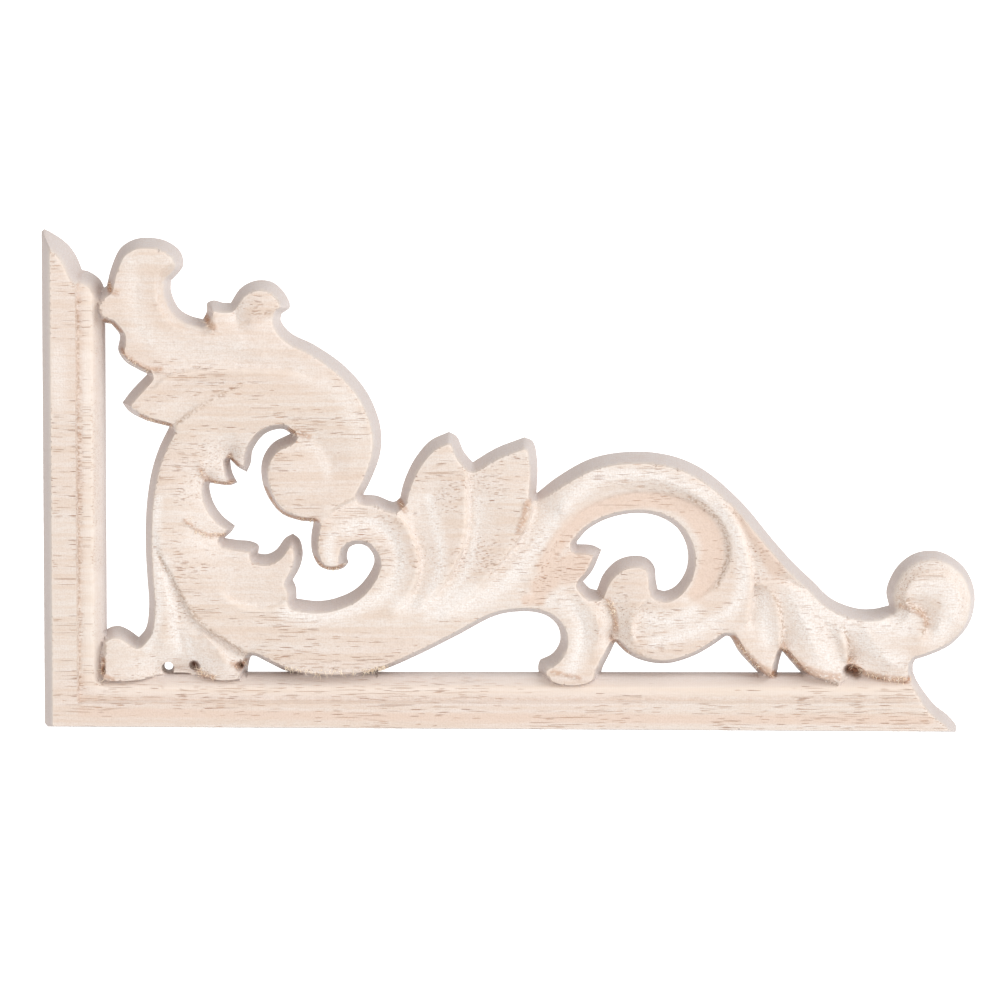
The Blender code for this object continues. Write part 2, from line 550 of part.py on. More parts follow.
def feature_points(carving):
    """Points where one form of the surface meets the next, so that the mesh has edges there."""
    corners = np.concatenate(carving.rail + carving.scroll)
    x = np.arange(corners[:, 0].min(), corners[:, 0].max(), RASTER)
    z = np.arange(corners[:, 1].min(), corners[:, 1].max(), RASTER)
    nodes = np.stack(np.meshgrid(x, z), -1).reshape(-1, 2)
    shape = (len(z), len(x))
    near = nearest_flags(carving, nodes)
    forms = np.full((5, len(nodes)), -1.0)
    forms[0, near], forms[1, near] = carving.rail_forms(nodes[near])
    forms[2, near], forms[3, near] = carving.scroll_forms(nodes[near])
    forms[4, near] = carving.plunge_at(nodes[near])
    rail_face, rail_wall, scroll_face, scroll_wall, plunge = forms.reshape(5, *shape)
    rail = np.minimum(rail_face, rail_wall)
    scroll = np.minimum(scroll_face, scroll_wall)
    before = np.maximum(rail, scroll)
    in_scroll = (scroll_wall > 0) & (scroll >= rail - MEETING) & (plunge > before - MEETING)
    in_rail = (rail_wall > 0) & (rail >= scroll - MEETING) & (plunge > before - MEETING)
    slope_z, slope_x = np.gradient(scroll_wall, RASTER)
    lean = np.hypot(slope_x, slope_z) / (FACE / WALL_LEAN)
    crest = in_scroll & (lean < CREST_LEAN) & (scroll_wall < scroll_face) & (scroll_wall > CREST_FLOOR)
    i, j = np.nonzero(crest)
    in_both = (rail_wall > 0) & (scroll_wall > 0) & (plunge > before - MEETING)
    return [
        crossings(rail - scroll, x, z, in_both),
        crossings(plunge - before, x, z, before > 0),
        crossings(scroll_face - scroll_wall, x, z, in_scroll),
        crossings(rail_face - rail_wall, x, z, in_rail),
        np.stack([x[j], z[i]], 1),
    ]


def nearest_flags(carving, nodes):
    """The nodes that lie in the solid, which are the only ones worth measuring."""
    return inside(nodes, carving.rail) | inside(nodes, carving.scroll)


def face_points(carving):
    """The rows of points along the face's folds and steps."""
    for step in STEPS:
        for line, _ in step_rows(step, LINE_STEP, HALF_STEP):
            yield line
    for points, _ in FOLDS:
        yield smooth(face_to_mm(points), LINE_STEP)


def within(carving, points, margin):
    """The points that are inside the solid and clear of its outlines."""
    points = points[nearest_flags(carving, points)]
    rail = nearest(points, *edges_of(carving.rail[0]))
    scroll = np.min([nearest(points, *edges_of(loop)) for loop in carving.scroll], axis=0)
    clear = np.where(inside(points, carving.scroll), scroll, rail)
    return points[clear > margin]


def honeycomb(carving):
    """Evenly spread points over the scrollwork, in offset rows."""
    corners = np.concatenate(carving.scroll)
    low, high = corners.min(axis=0), corners.max(axis=0)
    rows = np.arange(low[1], high[1], FACE_STEP * math.sqrt(3) / 2)
    points = np.array([
        (x, z)
        for i, z in enumerate(rows)
        for x in np.arange(low[0] + i % 2 * FACE_STEP / 2, high[0], FACE_STEP)
    ])
    return points[inside(points, carving.scroll)]


def moulding_rows(carving):
    """The runs of points along the moulding's step that the scrollwork leaves bare."""
    end_u, end_v = RAIL_END[0][0], RAIL_TOP[0][1]
    for u, v in ((STEP_TOP_U, STEP_TOP_V), (STEP_FOOT_U, STEP_FOOT_V)):
        corner = [(u, end_v), (u, v), (end_u, v)]
        row = np.concatenate([
            smooth(face_to_mm(corner[:2]), RAIL_ROW_STEP)[:-1],
            smooth(face_to_mm(corner[1:]), RAIL_ROW_STEP),
        ])
        face, wall = carving.rail_forms(row)
        bare = (wall > face) & (np.minimum(*carving.scroll_forms(row)) < face - MEETING)
        for run in np.split(row, np.nonzero(~bare)[0]):
            run = run[np.minimum(*carving.rail_forms(run)) > RAIL_INNER - MEETING] if len(run) else run
            if len(run) > 2:
                yield run[1:]


def bare_edges(loops, others, start):
    """Index pairs of the loops' edges that aren't hidden inside the other outline."""
    pairs = []
    for loop in loops:
        hidden = inside(loop, others)
        count = len(loop)
        for i in range(count):
            j = (i + 1) % count
            if not (hidden[i] and hidden[j]):
                pairs.append((start + i, start + j))
        start += count
    return pairs


def triangulate(points, edges):
    made, _, faces, *_ = geometry.delaunay_2d_cdt([Vector(p) for p in points], edges, [], 0, CDT_EPSILON)
    return np.array([tuple(p) for p in made]), np.array([tuple(face) for face in faces])


def solid_mesh(carving):
    """The solid's vertices in metres and its faces, the carved front and then the flat back."""
    outlines = np.concatenate(carving.rail + carving.scroll)
    edges = bare_edges(carving.rail, carving.scroll, 0)
    edges += bare_edges(carving.scroll, carving.rail, len(carving.rail[0]))
    used = sorted({i for edge in edges for i in edge})
    order = {old: new for new, old in enumerate(used)}
    edges = [(order[a], order[b]) for a, b in edges]
    spread = Spread(outlines[used])
    for run in moulding_rows(carving):
        start = len(spread.points)
        for point in run:
            spread.put(point)
        edges += [(i, i + 1) for i in range(start, start + len(run) - 1)]
    for points in feature_points(carving):
        spread.add(within(carving, points, EDGE_GAP), FEATURE_GAP)
    for points in face_points(carving):
        spread.add(within(carving, points, WALL_LEAN), LINE_GAP)
    spread.add(within(carving, honeycomb(carving), WALL_LEAN), FILL_GAP)
    for _ in range(CHORD_PASSES):
        points, faces = triangulate(spread.points, edges)
        faces = faces[nearest_flags(carving, points[faces].mean(axis=1))]
        spread.points.extend(chord_middles(points, faces))
    rim = boundary(faces)
    height = np.maximum(carving.height(points), LEAST)
    height[np.unique(rim)] = 0
    rim_points = np.unique(rim)
    place = {old: new for new, old in enumerate(rim_points)}
    back_edges = [(place[a], place[b]) for a, b in rim]
    back_points, back = triangulate(points[rim_points], back_edges)
    if len(back_points) != len(rim_points):
        raise ValueError("the back's outline crosses itself")
    back = back[nearest_flags(carving, back_points[back].mean(axis=1))]
    vertices = np.stack([points[:, 0], -height, points[:, 1]], 1) / 1000
    faces = np.concatenate([faces, rim_points[back][:, ::-1]])
    used = np.unique(faces)
    place = np.zeros(len(vertices), int)
    place[used] = np.arange(len(used))
    return vertices[used], place[faces]


def chord_middles(points, faces):
    """The middles of the inner edges between two rim points, where the front would touch the back."""
    on_rim = np.isin(np.arange(len(points)), boundary(faces))
    ends = np.concatenate([faces[:, [0, 1]], faces[:, [1, 2]], faces[:, [2, 0]]])
    ends, count = np.unique(np.sort(ends, axis=1), axis=0, return_counts=True)
    chords = ends[(count == 2) & on_rim[ends].all(axis=1)]
    return points[chords].mean(axis=1)


def boundary(faces):
    """The edges that belong to one face only."""
    ends = np.concatenate([faces[:, [0, 1]], faces[:, [1, 2]], faces[:, [2, 0]]])
    _, first, count = np.unique(np.sort(ends, axis=1), axis=0, return_index=True, return_counts=True)
    return ends[first[count == 1]]


def wood():
    material = bpy.data.materials.new("bare_pale_wood")
    material.use_nodes = True
    surface = material.node_tree.nodes["Principled BSDF"]
    surface.inputs["Base Color"].default_value = PALE_WOOD
    surface.inputs["Roughness"].default_value = 0.75
    return material


def main():
    for left in list(bpy.data.objects):
        bpy.data.objects.remove(left, do_unlink=True)
    vertices, faces = solid_mesh(Carving())
    mesh = bpy.data.meshes.new("corner_onlay")
    mesh.from_pydata(vertices.tolist(), [], faces.tolist())
    mesh.update()
    mesh.materials.append(wood())
    onlay = bpy.data.objects.new("corner_onlay", mesh)
    bpy.context.collection.objects.link(onlay)


main()
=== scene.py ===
import math

import bpy
import numpy as np
from bpy.props import FloatProperty, FloatVectorProperty, IntProperty, PointerProperty
from bpy.types import Operator, Panel, PropertyGroup
from mathutils import Matrix, Quaternion, Vector, bvhtree, geometry, kdtree, noise


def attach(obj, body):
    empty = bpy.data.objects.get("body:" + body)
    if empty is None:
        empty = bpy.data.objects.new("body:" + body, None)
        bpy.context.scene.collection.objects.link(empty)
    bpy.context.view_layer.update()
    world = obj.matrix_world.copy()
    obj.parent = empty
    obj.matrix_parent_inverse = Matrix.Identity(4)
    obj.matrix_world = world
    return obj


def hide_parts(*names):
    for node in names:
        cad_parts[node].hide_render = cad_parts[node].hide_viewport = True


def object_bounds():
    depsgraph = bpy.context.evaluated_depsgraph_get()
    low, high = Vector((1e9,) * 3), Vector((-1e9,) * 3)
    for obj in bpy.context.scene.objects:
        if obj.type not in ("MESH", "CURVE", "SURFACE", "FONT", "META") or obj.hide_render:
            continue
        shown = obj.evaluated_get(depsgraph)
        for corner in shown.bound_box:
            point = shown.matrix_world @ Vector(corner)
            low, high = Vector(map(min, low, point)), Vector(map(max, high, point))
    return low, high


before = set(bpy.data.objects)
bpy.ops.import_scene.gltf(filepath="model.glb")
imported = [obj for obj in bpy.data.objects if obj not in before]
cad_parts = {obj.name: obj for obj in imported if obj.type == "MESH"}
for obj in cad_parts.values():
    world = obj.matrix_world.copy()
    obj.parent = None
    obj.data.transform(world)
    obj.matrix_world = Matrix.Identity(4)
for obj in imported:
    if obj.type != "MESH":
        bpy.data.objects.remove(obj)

bl_info = {
    "name": "Carved corner onlay",
    "version": (1, 0, 0),
    "blender": (4, 5, 0),
    "location": "3D View > Sidebar > Onlay",
    "description": "Carves a pale wooden corner onlay and sets it on a plain stage",
    "category": "Add Mesh",
}

CAD_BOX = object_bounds()
BOARD = "corner_onlay"

# Millimetres in a metre.
MM = 1000


def drawn(text):
    """The rows of a drawing, each split at its bars into lists of u,v points or of numbers."""
    return [
        [[tuple(map(float, word.split(","))) if "," in word else float(word) for word in part.split()]
         for part in row.split("|")]
        for row in text.strip().splitlines() if not row.startswith("#")
    ]


def chained(text):
    """The strokes of a closed outline, where each row goes on from the last point of the row before it."""
    strokes = [points for points, in drawn(text)]
    return [[before[-1], *points] for before, points in zip([strokes[-1], *strokes], strokes)]


# The drawing: u right, v down, on a fine grid. A grid step is GRID_X wide and GRID_Z high, in millimetres.
GRID_X = 0.2
GRID_Z = 0.201
CORNER_U = 75.0
CORNER_V = 700.0

# Heights above the back and how far a full-height wall leans in, in millimetres.
FACE = 8.6
RAIL_OUTER = 8.6
RAIL_INNER = 7.5
LEAST = 0.25
WALL_LEAN = 1.75
DRILL_LEAN = 0.7
UPRIGHT = 20.0

# Face lines are drawn as the front shows them, seen from a little above.
FACE_DROP = 4.1
FACE_SPREAD = 1.0056
VIEW_MIDDLE = 500.0

# The moulding across its width, in grid steps.
STEP_TOP_U = 75.0
STEP_FOOT_U = 77.8
STEP_TOP_V = 703.6
STEP_FOOT_V = 700.5
GROOVE_U = 80.2
GROOVE_V = 698.1
RAIL_TOP_V = 229.2
RAIL_END_U = 913.6

# The face between its drawn lines, the rounding of its edges, the burnt pits with painted shade in them, the
# whitening of its hollows and the painted highlight along its edges and ridges, in millimetres.
HALF_STEP = 0.35
FILM_PITCHES = (1.0, 0.5, 0.25)
FILM_REACH = 6.0
FILM_PASSES = 300
ROUND_OFF = 0.45
ROUND_REACH = 1.6
WALL_START = 0.8
HIGHEST = 8.62
PIT_FLOOR = 1.0
BURN_AND_SHADE_HEIGHT = 2.4
EDGE_BAND = 1.7
HOLLOW_TOP = 8.3
HOLLOW_DEPTH = 0.8
RIDGE_DROP = 1.0
RIDGE_REACH = 0.75

# The groove along the moulding's step: its reach, how deep its level part is as a share of the upright one,
# its least depth and what its spots add. Then how uneven the faces are.
GROOVE_REACH = 0.3
LEVEL_GROOVE = 0.45
GROOVE_LEAST = 0.55
GROOVE_SPOTS = 1.1
UNEVEN = 0.035

# The mesh: margins, pitches and gaps in millimetres, reaches as shares of the spacing, and the angle from
# which a crease stays crisp.
BOARD_MARGIN = 2
GAP_PITCH = 0.2
FORM_PITCH = 0.25
SCROLL_GAP_REACH = 6.0
RAIL_GAP_REACH = 1.0
MEETING = 0.6
CREST_LEAN = 0.7
EDGE_GAP = 0.2
LEDGE_GAP = 0.25
LEDGE_REACH = 0.9
FILL_REACH = 0.62
ROW_REACH = 0.8
CDT_EPSILON = 1e-5
CHORD_PASSES = 3
CREASE = math.radians(38)

# How much of the walls' tint shows, from 0 to 1, a tint that is partly their own cut finish and partly a
# painted sheen, how strongly burn and painted shade ring the drilled hole, and how far in the moulding's
# inner walls reach.
RAIL_WALL_SHARE = 0.55
INNER_WALL_SHARE = 0.32
PLUNGE_SHARE = 0.3
DRILL_BURN_AND_SHADE = 0.7
INNER_REACH = 3.8

# Chance: the torn grain's seed and the fibres' seed.
GRAIN_SEED = 11
FIBRE_SEED = 23

# The loose fibres: how much they bend, how far they stray from their line in millimetres, how far their lean
# strays, and the shortest one as a share of the longest. Then, in metres, how deep a root goes, how far above
# the back it is at least, and the depth in front of the board from which it is looked for.
FIBRE_BEND = 0.35
FIBRE_STRAY = 0.3
FIBRE_LEAN = 0.5
FIBRE_SHORTEST = 0.35
ROOT_DEPTH = 0.0001
ROOT_LEAST = 0.003
IN_FRONT = -0.03

# The stage, in metres: what the camera aims at, and the floor well below, since the onlay hangs free.
AIM = (0.085, 0, 0.0402)
FLOOR_SIZE = 40
FLOOR_HEIGHT = -0.3
# Each soft light: where it stands, how wide it is and its tint.
KEY_LIGHT = (1.3, -0.9, 0.95), 1.3, (0.93, 0.965, 1.0)
FRONT_LIGHT = (-0.25, -1.8, 0.35), 0.8, (1.0, 0.98, 0.96)

# Where the face is whitened, faintly whitened or a warmer orange: each row is a line, and how far to each
# side of it the change reaches, in millimetres. The wide whitening over the right-hand leaves is painted
# light on their shaded hollows.
WHITENING = drawn("""
600,476 578,490 556,514 542,540 522,566 498,588 466,604 432,612 | 3.4
590,480 640,475 684,484 714,503 738,540 743,575 736,604 705,626 655,642 | 2.6
345,528 375,524 396,544 399,570 386,592 355,608 318,616 285,612 | 2.8
157,500 155,545 158,585 156,622 146,650 | 1.8
163,560 172,612 177,652 | 2.2
400,604 440,602 470,592 | 3.6
330,560 328,545 334,532 | 2
548,598 568,604 582,622 580,645 572,668 | 3.4
646,618 670,622 694,612 | 3.2
762,600 768,640 | 3
796,598 830,618 870,628 904,622 | 5.8
800,610 816,640 832,666 | 5.2
862,640 880,652 900,660 | 3.6
922,588 946,586 954,608 938,634 | 3.6
186,640 190,655 200,668 | 1.8
428,498 436,530 440,560 430,592 | 2.4
478,500 476,535 464,572 448,596 | 2
224,520 218,504 214,494 | 1.6
""")
FAINT = drawn("""
130,262 134,290 140,320 160,346 200,352 240,345 | 3.4
300,436 318,452 328,474 | 2
58,352 58,404 | 3
86,352 86,404 | 2
300,372 340,392 358,430 | 3
""")
WARM = drawn("""
545,566 560,540 588,514 620,503 650,500 682,507 703,524 713,548 710,573 697,593 | 2.6
694,514 710,536 712,560 704,584 | 3.4
540,588 562,568 596,552 | 3.2
566,575 580,570 | 2.6
526,600 540,600 | 1.6
738,506 760,540 776,568 | 2.6
80,712 500,718 930,720 | 1.3
""")
# Where the cutter tore the fibres: the line, and how far to each side, in millimetres.
FRAYED = drawn("""
290,431 298,433 308,436 | 1
229,457 230,462 236,466 | 1
200,470 206,480 216,484 230,485 | 0.9
184,520 196,530 206,535 222,536 | 0.6
264,492 276,512 294,520 316,520 | 1
314,562 324,570 340,568 | 0.9
527,502 524,516 519,530 | 1.1
398,503 405,510 | 0.9
107,286 110,291 117,293 | 0.9
105,322 112,326 120,332 | 0.8
122,352 134,362 150,370 160,369 | 0.9
140,417 158,424 170,426 | 0.8
203,318 208,322 214,328 | 1
102,660 102,676 112,680 | 0.7
232,664 238,668 244,664 | 1
196,672 204,676 212,678 | 0.9
612,640 618,648 628,656 | 0.9
608,600 614,612 616,630 | 0.9
735,640 748,656 764,670 774,676 | 1.2
783,648 796,662 812,672 838,678 | 1.3
850,662 862,672 880,678 908,681 | 1.1
900,606 912,609 922,614 926,624 | 0.8
552,672 580,678 | 0.6
""")
# Where dark dots are drawn along step edges and the moulding's groove: partly the cutter's torn dots, partly
# painted shade in these creases.
DOTTED = drawn("""
77.8,300 77.8,690 | 0.45
773,592 780,610 783,632 782,650 | 0.8
843,628 849,640 850,662 | 0.8
906,600 915,609 926,613 929,623 922,634 | 1
689,497 711,512 724,530 728,549 724,570 716,587 | 0.9
157,554 181,595 200,622 233,646 249,657 | 0.8
590,588 604,600 614,618 616,636 | 0.8
177,423 200,407 241,384 | 0.7
""")
# Most of the loose fibres stand under the long scroll, where it meets the moulding.
FOOT_FIBRES = 6
TORN_FOOT = drawn("284,667 304,670 334,671 366,670 385,667 | 1") * FOOT_FIBRES
# The mouldings' outline: each row is a stroke, then how far its wall leans in at full height and how high its
# foot stands upright, in millimetres. A stroke of two points is straight, a longer one is a smooth curve
# through its points, and strokes meet in corners.
RAIL = drawn("""
# The short moulding: its outer side, its tip, its ogee end and its bead, then its inner side.
43,723 42.4,232 | 2.1 0
42.4,232 45.3,229.2 | 2.6 0
45.3,229.2 55.5,234.7 68.3,244.2 77,256 82.9,270 | 2.6 0
82.9,270 90,271.8 101,280 105.9,291 | 2.6 0
105.9,291 105.9,671 | 3.2 4.4
# The long moulding: its inner side, its ogee end, its foot and the outer corner.
105.9,671 913.6,672 | 3.2 4.4
913.6,672 918,681.6 934.6,704 949,715.7 957.5,727 956.5,732 | 1.6 0
956.5,732 46,726.8 | 1.25 0
46,726.8 43,723 | 1.25 0
""")

# The scrollwork's outline and its gaps: each row goes on from the last point of the row above.
SCROLL = chained("""
# Where the top leaf laps the short moulding, and the curl above it.
103,322 96,315 94,304 98,293 107.2,285.7
111.6,268.5 121,248.5 134.6,239.8 150,238 167,241.3 181,252 183.6,266 176.7,275.5 171.6,280.6
171.5,291 179.2,308 190,315.3 203,319
206.6,312 207.3,303 214,300.3 223,302.5 230.8,302.7
241,288 256,280.6 272.9,282.3 286,295 290,307 281.8,313.6
# The back of the great scroll.
280.8,320 290.8,332.7 313.7,344.2 343.1,364.6 367.3,392.7 380,426 380,452 371,478 362.9,494
376,495 393.8,501 399.5,497
# Two fan leaves.
403.5,481 414.2,458.3 430,440 448.6,431.2
456.5,436 463.3,450.6 472.2,461.5
495.8,447.4 524,436.6
532.5,441 537,463.2 536.1,492.5
# The long arc down to the ball.
557.4,475.9 592,457.4 633.9,451 672.2,455.5 703,469 741,501.5 773,539.7 792.5,561.4 812,580 832,598.5 \
858,608 875,608 888.7,604.8
886.3,589.3 897,566 915.8,552.3 940,551.2 964.3,567.3 974.7,593 970.1,621.6 952,643.5 930,654.6 \
915.8,659.1
# Under the last leaf, over the long moulding and back.
913.4,664 913.4,672
911,683 896,685 880,683 864,678 852,674
847,682 841,690
828,684 812,679 800.5,671.6 792.5,663 782.3,651
779.1,662.4 777.3,671.5 772,684
762,676 748.5,662.4 738,650.5 729.3,636.3 725.5,635.7
711,645.8 692.2,656.1 666,663.2 641.2,659.9 626,652.3 615,641.4
609.3,653.5 602.5,667 598,680 585,687 563,688 546,682 538,671 538.2,662.6 540,659
552.5,652.5 559.6,640 557.8,627 549,617 535.5,612 517,611.3 494.8,615.4 456.5,635.2 418.3,654.3 \
385.7,668.4 362,675 334,677.5 304,675.5 281.6,669.5
254.8,655.8
250.8,655.6 248.2,662 247,670 245,679 234,682.5 216,682.5 205,679.5 196,676.5 186,674.5 170,674.5 158,677 \
146,681.5 124,684 108,683.5 98,680 95.5,670 94.5,655 97,641 101,632 110.4,626.1
# The side that faces the short moulding, upwards.
118,625.3 126.5,628.6 137.8,636.5
144.8,627.6 148,606 146.3,575 144.9,545 146.3,502.4 151.5,470 158.5,448 169,426.2
144.8,419.5 128.8,410.8 122.2,402.2
131,390.7 147.3,373.7
135.9,368 125.5,361.5 118.3,350 119.9,335 111.6,324
""")
SPIRAL_GAP = chained("""
283.1,428.9 274.1,429.5 263,434.8 252.4,449.9 250.6,462 246.5,471.5
238,467 229.8,459
232,471.6 237.1,482
230,484.8 219,484 209.7,482.4
209.1,487 213,501.5 222,515 234.7,525.2
231,531 224,537.3
237.4,539.3 250.2,540.5 258,544.5 257.8,552.7
266,553.4 275.5,549 284.6,537.3 292.2,532.9
299,538.5 302.3,552 299.5,566 292.2,579.4
295.2,586 296,598
318,600.3 335.6,597.3 356,587.5 370,570.5 373.6,558 367,546.6 357.3,543.7 348.8,547.3 346.5,556.5 \
348.1,561.6
343,567.5 331,569.8 319,565.8 311.5,552 310.6,535 312.9,521.4
298,519.7 281,513 269,499 261.6,480 262,459 271.8,443 290.2,433
""")
ARC_GAP = chained("""
586.7,529.5 605,519 631.4,512.9 655,515 676,526.9 686.5,547 686,568 675.5,585 664.5,590.1 657.5,588.8
655.6,580 654,566 646.7,557.6 634,555 617,559.5 603.3,572.9 596.3,589.4
589.3,587.5 582.9,581
592,570 601.2,549
592,544.5 576.5,543.5
576.5,541
""")
DRILLED = (167.8, 665.0, 4.2)

# Ridges and hollows of the face: the line, then the heights spread along it, in millimetres.
FOLDS = drawn("""
133,406 142,397 155,388 163,380 | 8.7 8.7
150,412 172,402 196,391 222,381 | 7.9 7.8 8.2
165,362 195,357 230,354 262,357 | 8.1 7.7 7.7 8.2
147,347 176,341 205,341 240,337 | 8.5 8.5
128,318 138,330 147,347 | 8.5 8.2 8.4
140,278 134,300 136,318 | 8.2 8 8.4
166,277 160,298 168,316 186,330 205,335 | 8.6 8.6
234,305 236,316 238,328 | 7.5 7.2 7.8
250,322 264,311 281,308 | 8.6 8.6
261,327 271,319 284,318 | 7.9 7.7 7.9
236,433 231,446 229.5,458 | 8.3 7.2 4.6
198,464 205,472 209,482 | 8.3 7.2 5
184,519 194,531 208,536.5 224,538 | 8.3 7.4 6.6 5.4
182,602 185,620 193,640 | 7.3 7.5 7.9
157,556 163,590 165,615 162,645 | 8.2 8.3 8.3 8.1
176,630 179,644 180,656 | 7.6 7.1 6.8
200,633 215,648 225,664 | 8.2 8.2
157,674 168,672.5 182,672.5 195,674 | 5.4 4.8 4.8 5.4
340,524 365,522 386,533 396,553 393,578 380,600 | 8.2 7.7 7.5 7.5 7.7 8.2
440,488 424,505 412,516 | 7.8 7.3 7
560,510 590,484 625,475 668,480 706,500 | 8.7 8.7
600,507 640,501 676,508 702,527 710,552 700,580 | 7.1 7.1
735,510 760,536 785,566 804,588 | 8.5 8.5
762,600 766,624 770,652 | 7.9 7.9 8
795,602 806,626 818,656 | 8.5 8.5
826,624 836,644 841,664 | 8 7.9 7.6
866,630 880,650 892,664 | 8.5 8.4 8.2
872,677 890,680 911,680 | 6.8 7
938,588 947,606 938,628 | 8.4 8.4
601,600 608,612 612,626 611,639 | 7.8 6.6 6 4.8
580,598 593,612 598,632 594,656 | 8.5 8.5
558,602 575,612 583,632 578,656 | 8.2 7.6 7.5 8
532,594 551,577 574,560 590,553 | 7.5 7.3 7.2
300,434 318,444 330,462 332,480 | 8 7.8 7.9 8.3
330,392 352,430 348,468 | 8.6 8.6
903,602 904,588 913,576 929,570 946,572 957,582 960,600 952,620 | 8.6 8.6
895,593 903,577 919,566 939,565 957,577 965,598 961,621 947,639 | 7.5 7.7
""")
# Steps of the face: the line, the high side's heights, the low side's, and a point on the low side.
STEPS = drawn("""
172,426 184,418 196,406.5 213,397.6 238,386 262,378 | 8.6 8.6 | 7.4 8.1 8.3 8.5 | 190,400
152,392 166,377 192,370 218,367.3 252,368.6 286,371 312,378 | 8.7 8.7 | 8.4 7.7 7.5 7.6 7.8 8.4 | 230,355
219,588 228,598 240,604.5 258,608 274,605.5 284,600 290,591 | 8.6 8.6 | 8.4 7.8 7.6 7.6 7.8 8.4 | 250,590
155.7,530 158.4,551.6 170.6,576 181.4,600 195,622 219,638 243,653 | 8.5 8.6 8.6 8.5 | 8.4 8 7.7 7.4 7.2 \
6.9 6.4 | 165,600
393,508 408,526 415.8,544 419.6,561.7 417,579.6 408,597.4 394,614 | 8.6 8.6 | 8.3 7.2 6.8 6.8 7.1 7.7 8.3 \
| 436,566
468,473 466.8,498 466.8,523.5 461.7,551.5 451.5,572 438.8,589.8 420,606 | 8.6 8.6 | 7.6 7 6.8 6.9 7.2 7.7 \
8.3 | 485,530
535,494 531,512 526,527 517,541 505,557 490,575 470,597 446,616 | 8.6 8.6 | 5.4 6.6 7.2 7.5 7.7 7.9 8.1 \
8.4 | 520,560
529,585.6 538,574 548.5,557.6 556,542 569,523 583,509 602,499 621,493 640,491.5 660,492 685,499 704,509 \
716.5,518 724,529.5 728.6,545 728.6,557.6 723,574 711,589.4 693.6,599.6 665,602 | 8.2 7.9 7.8 7.7 7.8 8.1 \
8.1 8.3 | 8 7.4 7.1 7 6.9 6.8 7 8.1 | 640,530
721.6,501 734.4,517 743,536 750,558 753.5,583 752,602 748,622 | 8.6 8.6 | 8.5 8 7.7 7.4 7.2 7 6.8 | \
790,560
757,583 770,579.5 784,581.5 796,587 808,594 | 8.6 8.6 | 7.4 7.5 7.8 8 8.4 | 780,560
773,590 779,606 782,626 783,646 | 8.6 8.6 8.4 | 8.4 7.6 7 6 | 792,625
842,628 846,640 849,650 849,660 | 8.6 8.5 8.2 | 8.4 7.2 6.2 4.6 | 858,645
903,605 913,606 921,610 926,618 926,629 921,640 | 8.7 8.7 | 8.2 7.2 6.9 6.9 7.3 8.2 | 940,606
656,592 648,599 640,609 634.5,619 633,632 637,641 | 8.6 8.6 | 8.4 7.8 7.4 7.4 7.8 8.4 | 655,620
324,517 335,508 350,500 364,495 | 8.6 8.6 | 8 7.5 7.4 7.2 | 345,515
""")
# Plunges of the cutter: the path, the tip's radius and what it leaves above the back, in millimetres.
PLUNGES = drawn("""
192,667 193,668 | 0.15 1.5
239,667 240,668 | 0.1 2.4
851,672 858,675 | 0.4 1.4
101.5,642 100.6,656 102,673 | 0 5.6
""")
# Broad shoulders and torn slopes: the line along the foot, the height there, the rise per millimetre.
SHOULDERS = drawn("""
890,603 886.3,589.3 897,566 915.8,552.3 940,551.2 964.3,567.3 974.7,593 970.1,621.6 952,643.5 | 5.8 0.75
178,274 171.6,280.6 171.5,291 179.2,308 190,315.3 203,319 | 5.4 1.1
281.8,313.6 280.8,320 290.8,332.7 | 6.2 1.2
772,684 762,676 748.5,662.4 738,650.5 729.3,636.3 | 4.4 2.2
841,690 828,684 812,679 800.5,671.6 792.5,663 782.3,651 | 4.4 2.2
852,674 864,678 880,683 | 2.4 2.2
615,641.4 626,652.3 641.2,659.9 | 5 1.8
""")


def smooth(points, step):
    """A curve through the points, sampled about every step; two points give a straight line."""
    points = [np.array(p, float) for p in points]
    if len(points) > 2:
        ends = [2 * points[0] - points[1]] + points + [2 * points[-1] - points[-2]]
    curve = []
    for i in range(len(points) - 1):
        count = max(1, round(np.linalg.norm(points[i + 1] - points[i]) / step))
        for t in np.arange(count) / count:
            if len(points) == 2:
                curve.append(points[0] + t * (points[1] - points[0]))
            else:
                curve.append(through(ends[i:i + 4], t))
    return np.array(curve + [points[-1]])


def through(four, t):
    """The point a share t of the way from the second to the third of four, on a centripetal spline."""
    a, b, c, d = four
    t1 = np.linalg.norm(b - a) ** 0.5
    t2 = t1 + np.linalg.norm(c - b) ** 0.5
    t3 = t2 + np.linalg.norm(d - c) ** 0.5
    at = t1 + t * (t2 - t1)
    ab = a + (b - a) * at / t1
    bc = b + (c - b) * (at - t1) / (t2 - t1)
    cd = c + (d - c) * (at - t2) / (t3 - t2)
    abc = ab + (bc - ab) * at / t2
    bcd = bc + (cd - bc) * (at - t1) / (t3 - t1)
    return abc + (bcd - abc) * (at - t1) / (t2 - t1)


def to_mm(points):
    """Drawing points as (x, z) in millimetres."""
    points = np.asarray(points, float)
    return np.stack([(points[:, 0] - CORNER_U) * GRID_X, (CORNER_V - points[:, 1]) * GRID_Z], 1)


def face_to_mm(points):
    """Face-line points, moved back over the outline, as (x, z) in millimetres."""
    points = np.asarray(points, float)
    over = VIEW_MIDDLE + (points - VIEW_MIDDLE) / FACE_SPREAD
    return to_mm(over - [0, FACE_DROP])


def loop_of(strokes, step):
    """The strokes as one closed loop of (x, z) points, its last point not repeated."""
    return np.concatenate([smooth(to_mm(stroke), step)[:-1] for stroke in strokes])


def circle(middle_u, middle_v, radius, count=24):
    turn = np.arange(count) * math.tau / count
    return to_mm(np.stack([middle_u + radius * np.cos(turn), middle_v + radius * np.sin(turn)], 1))


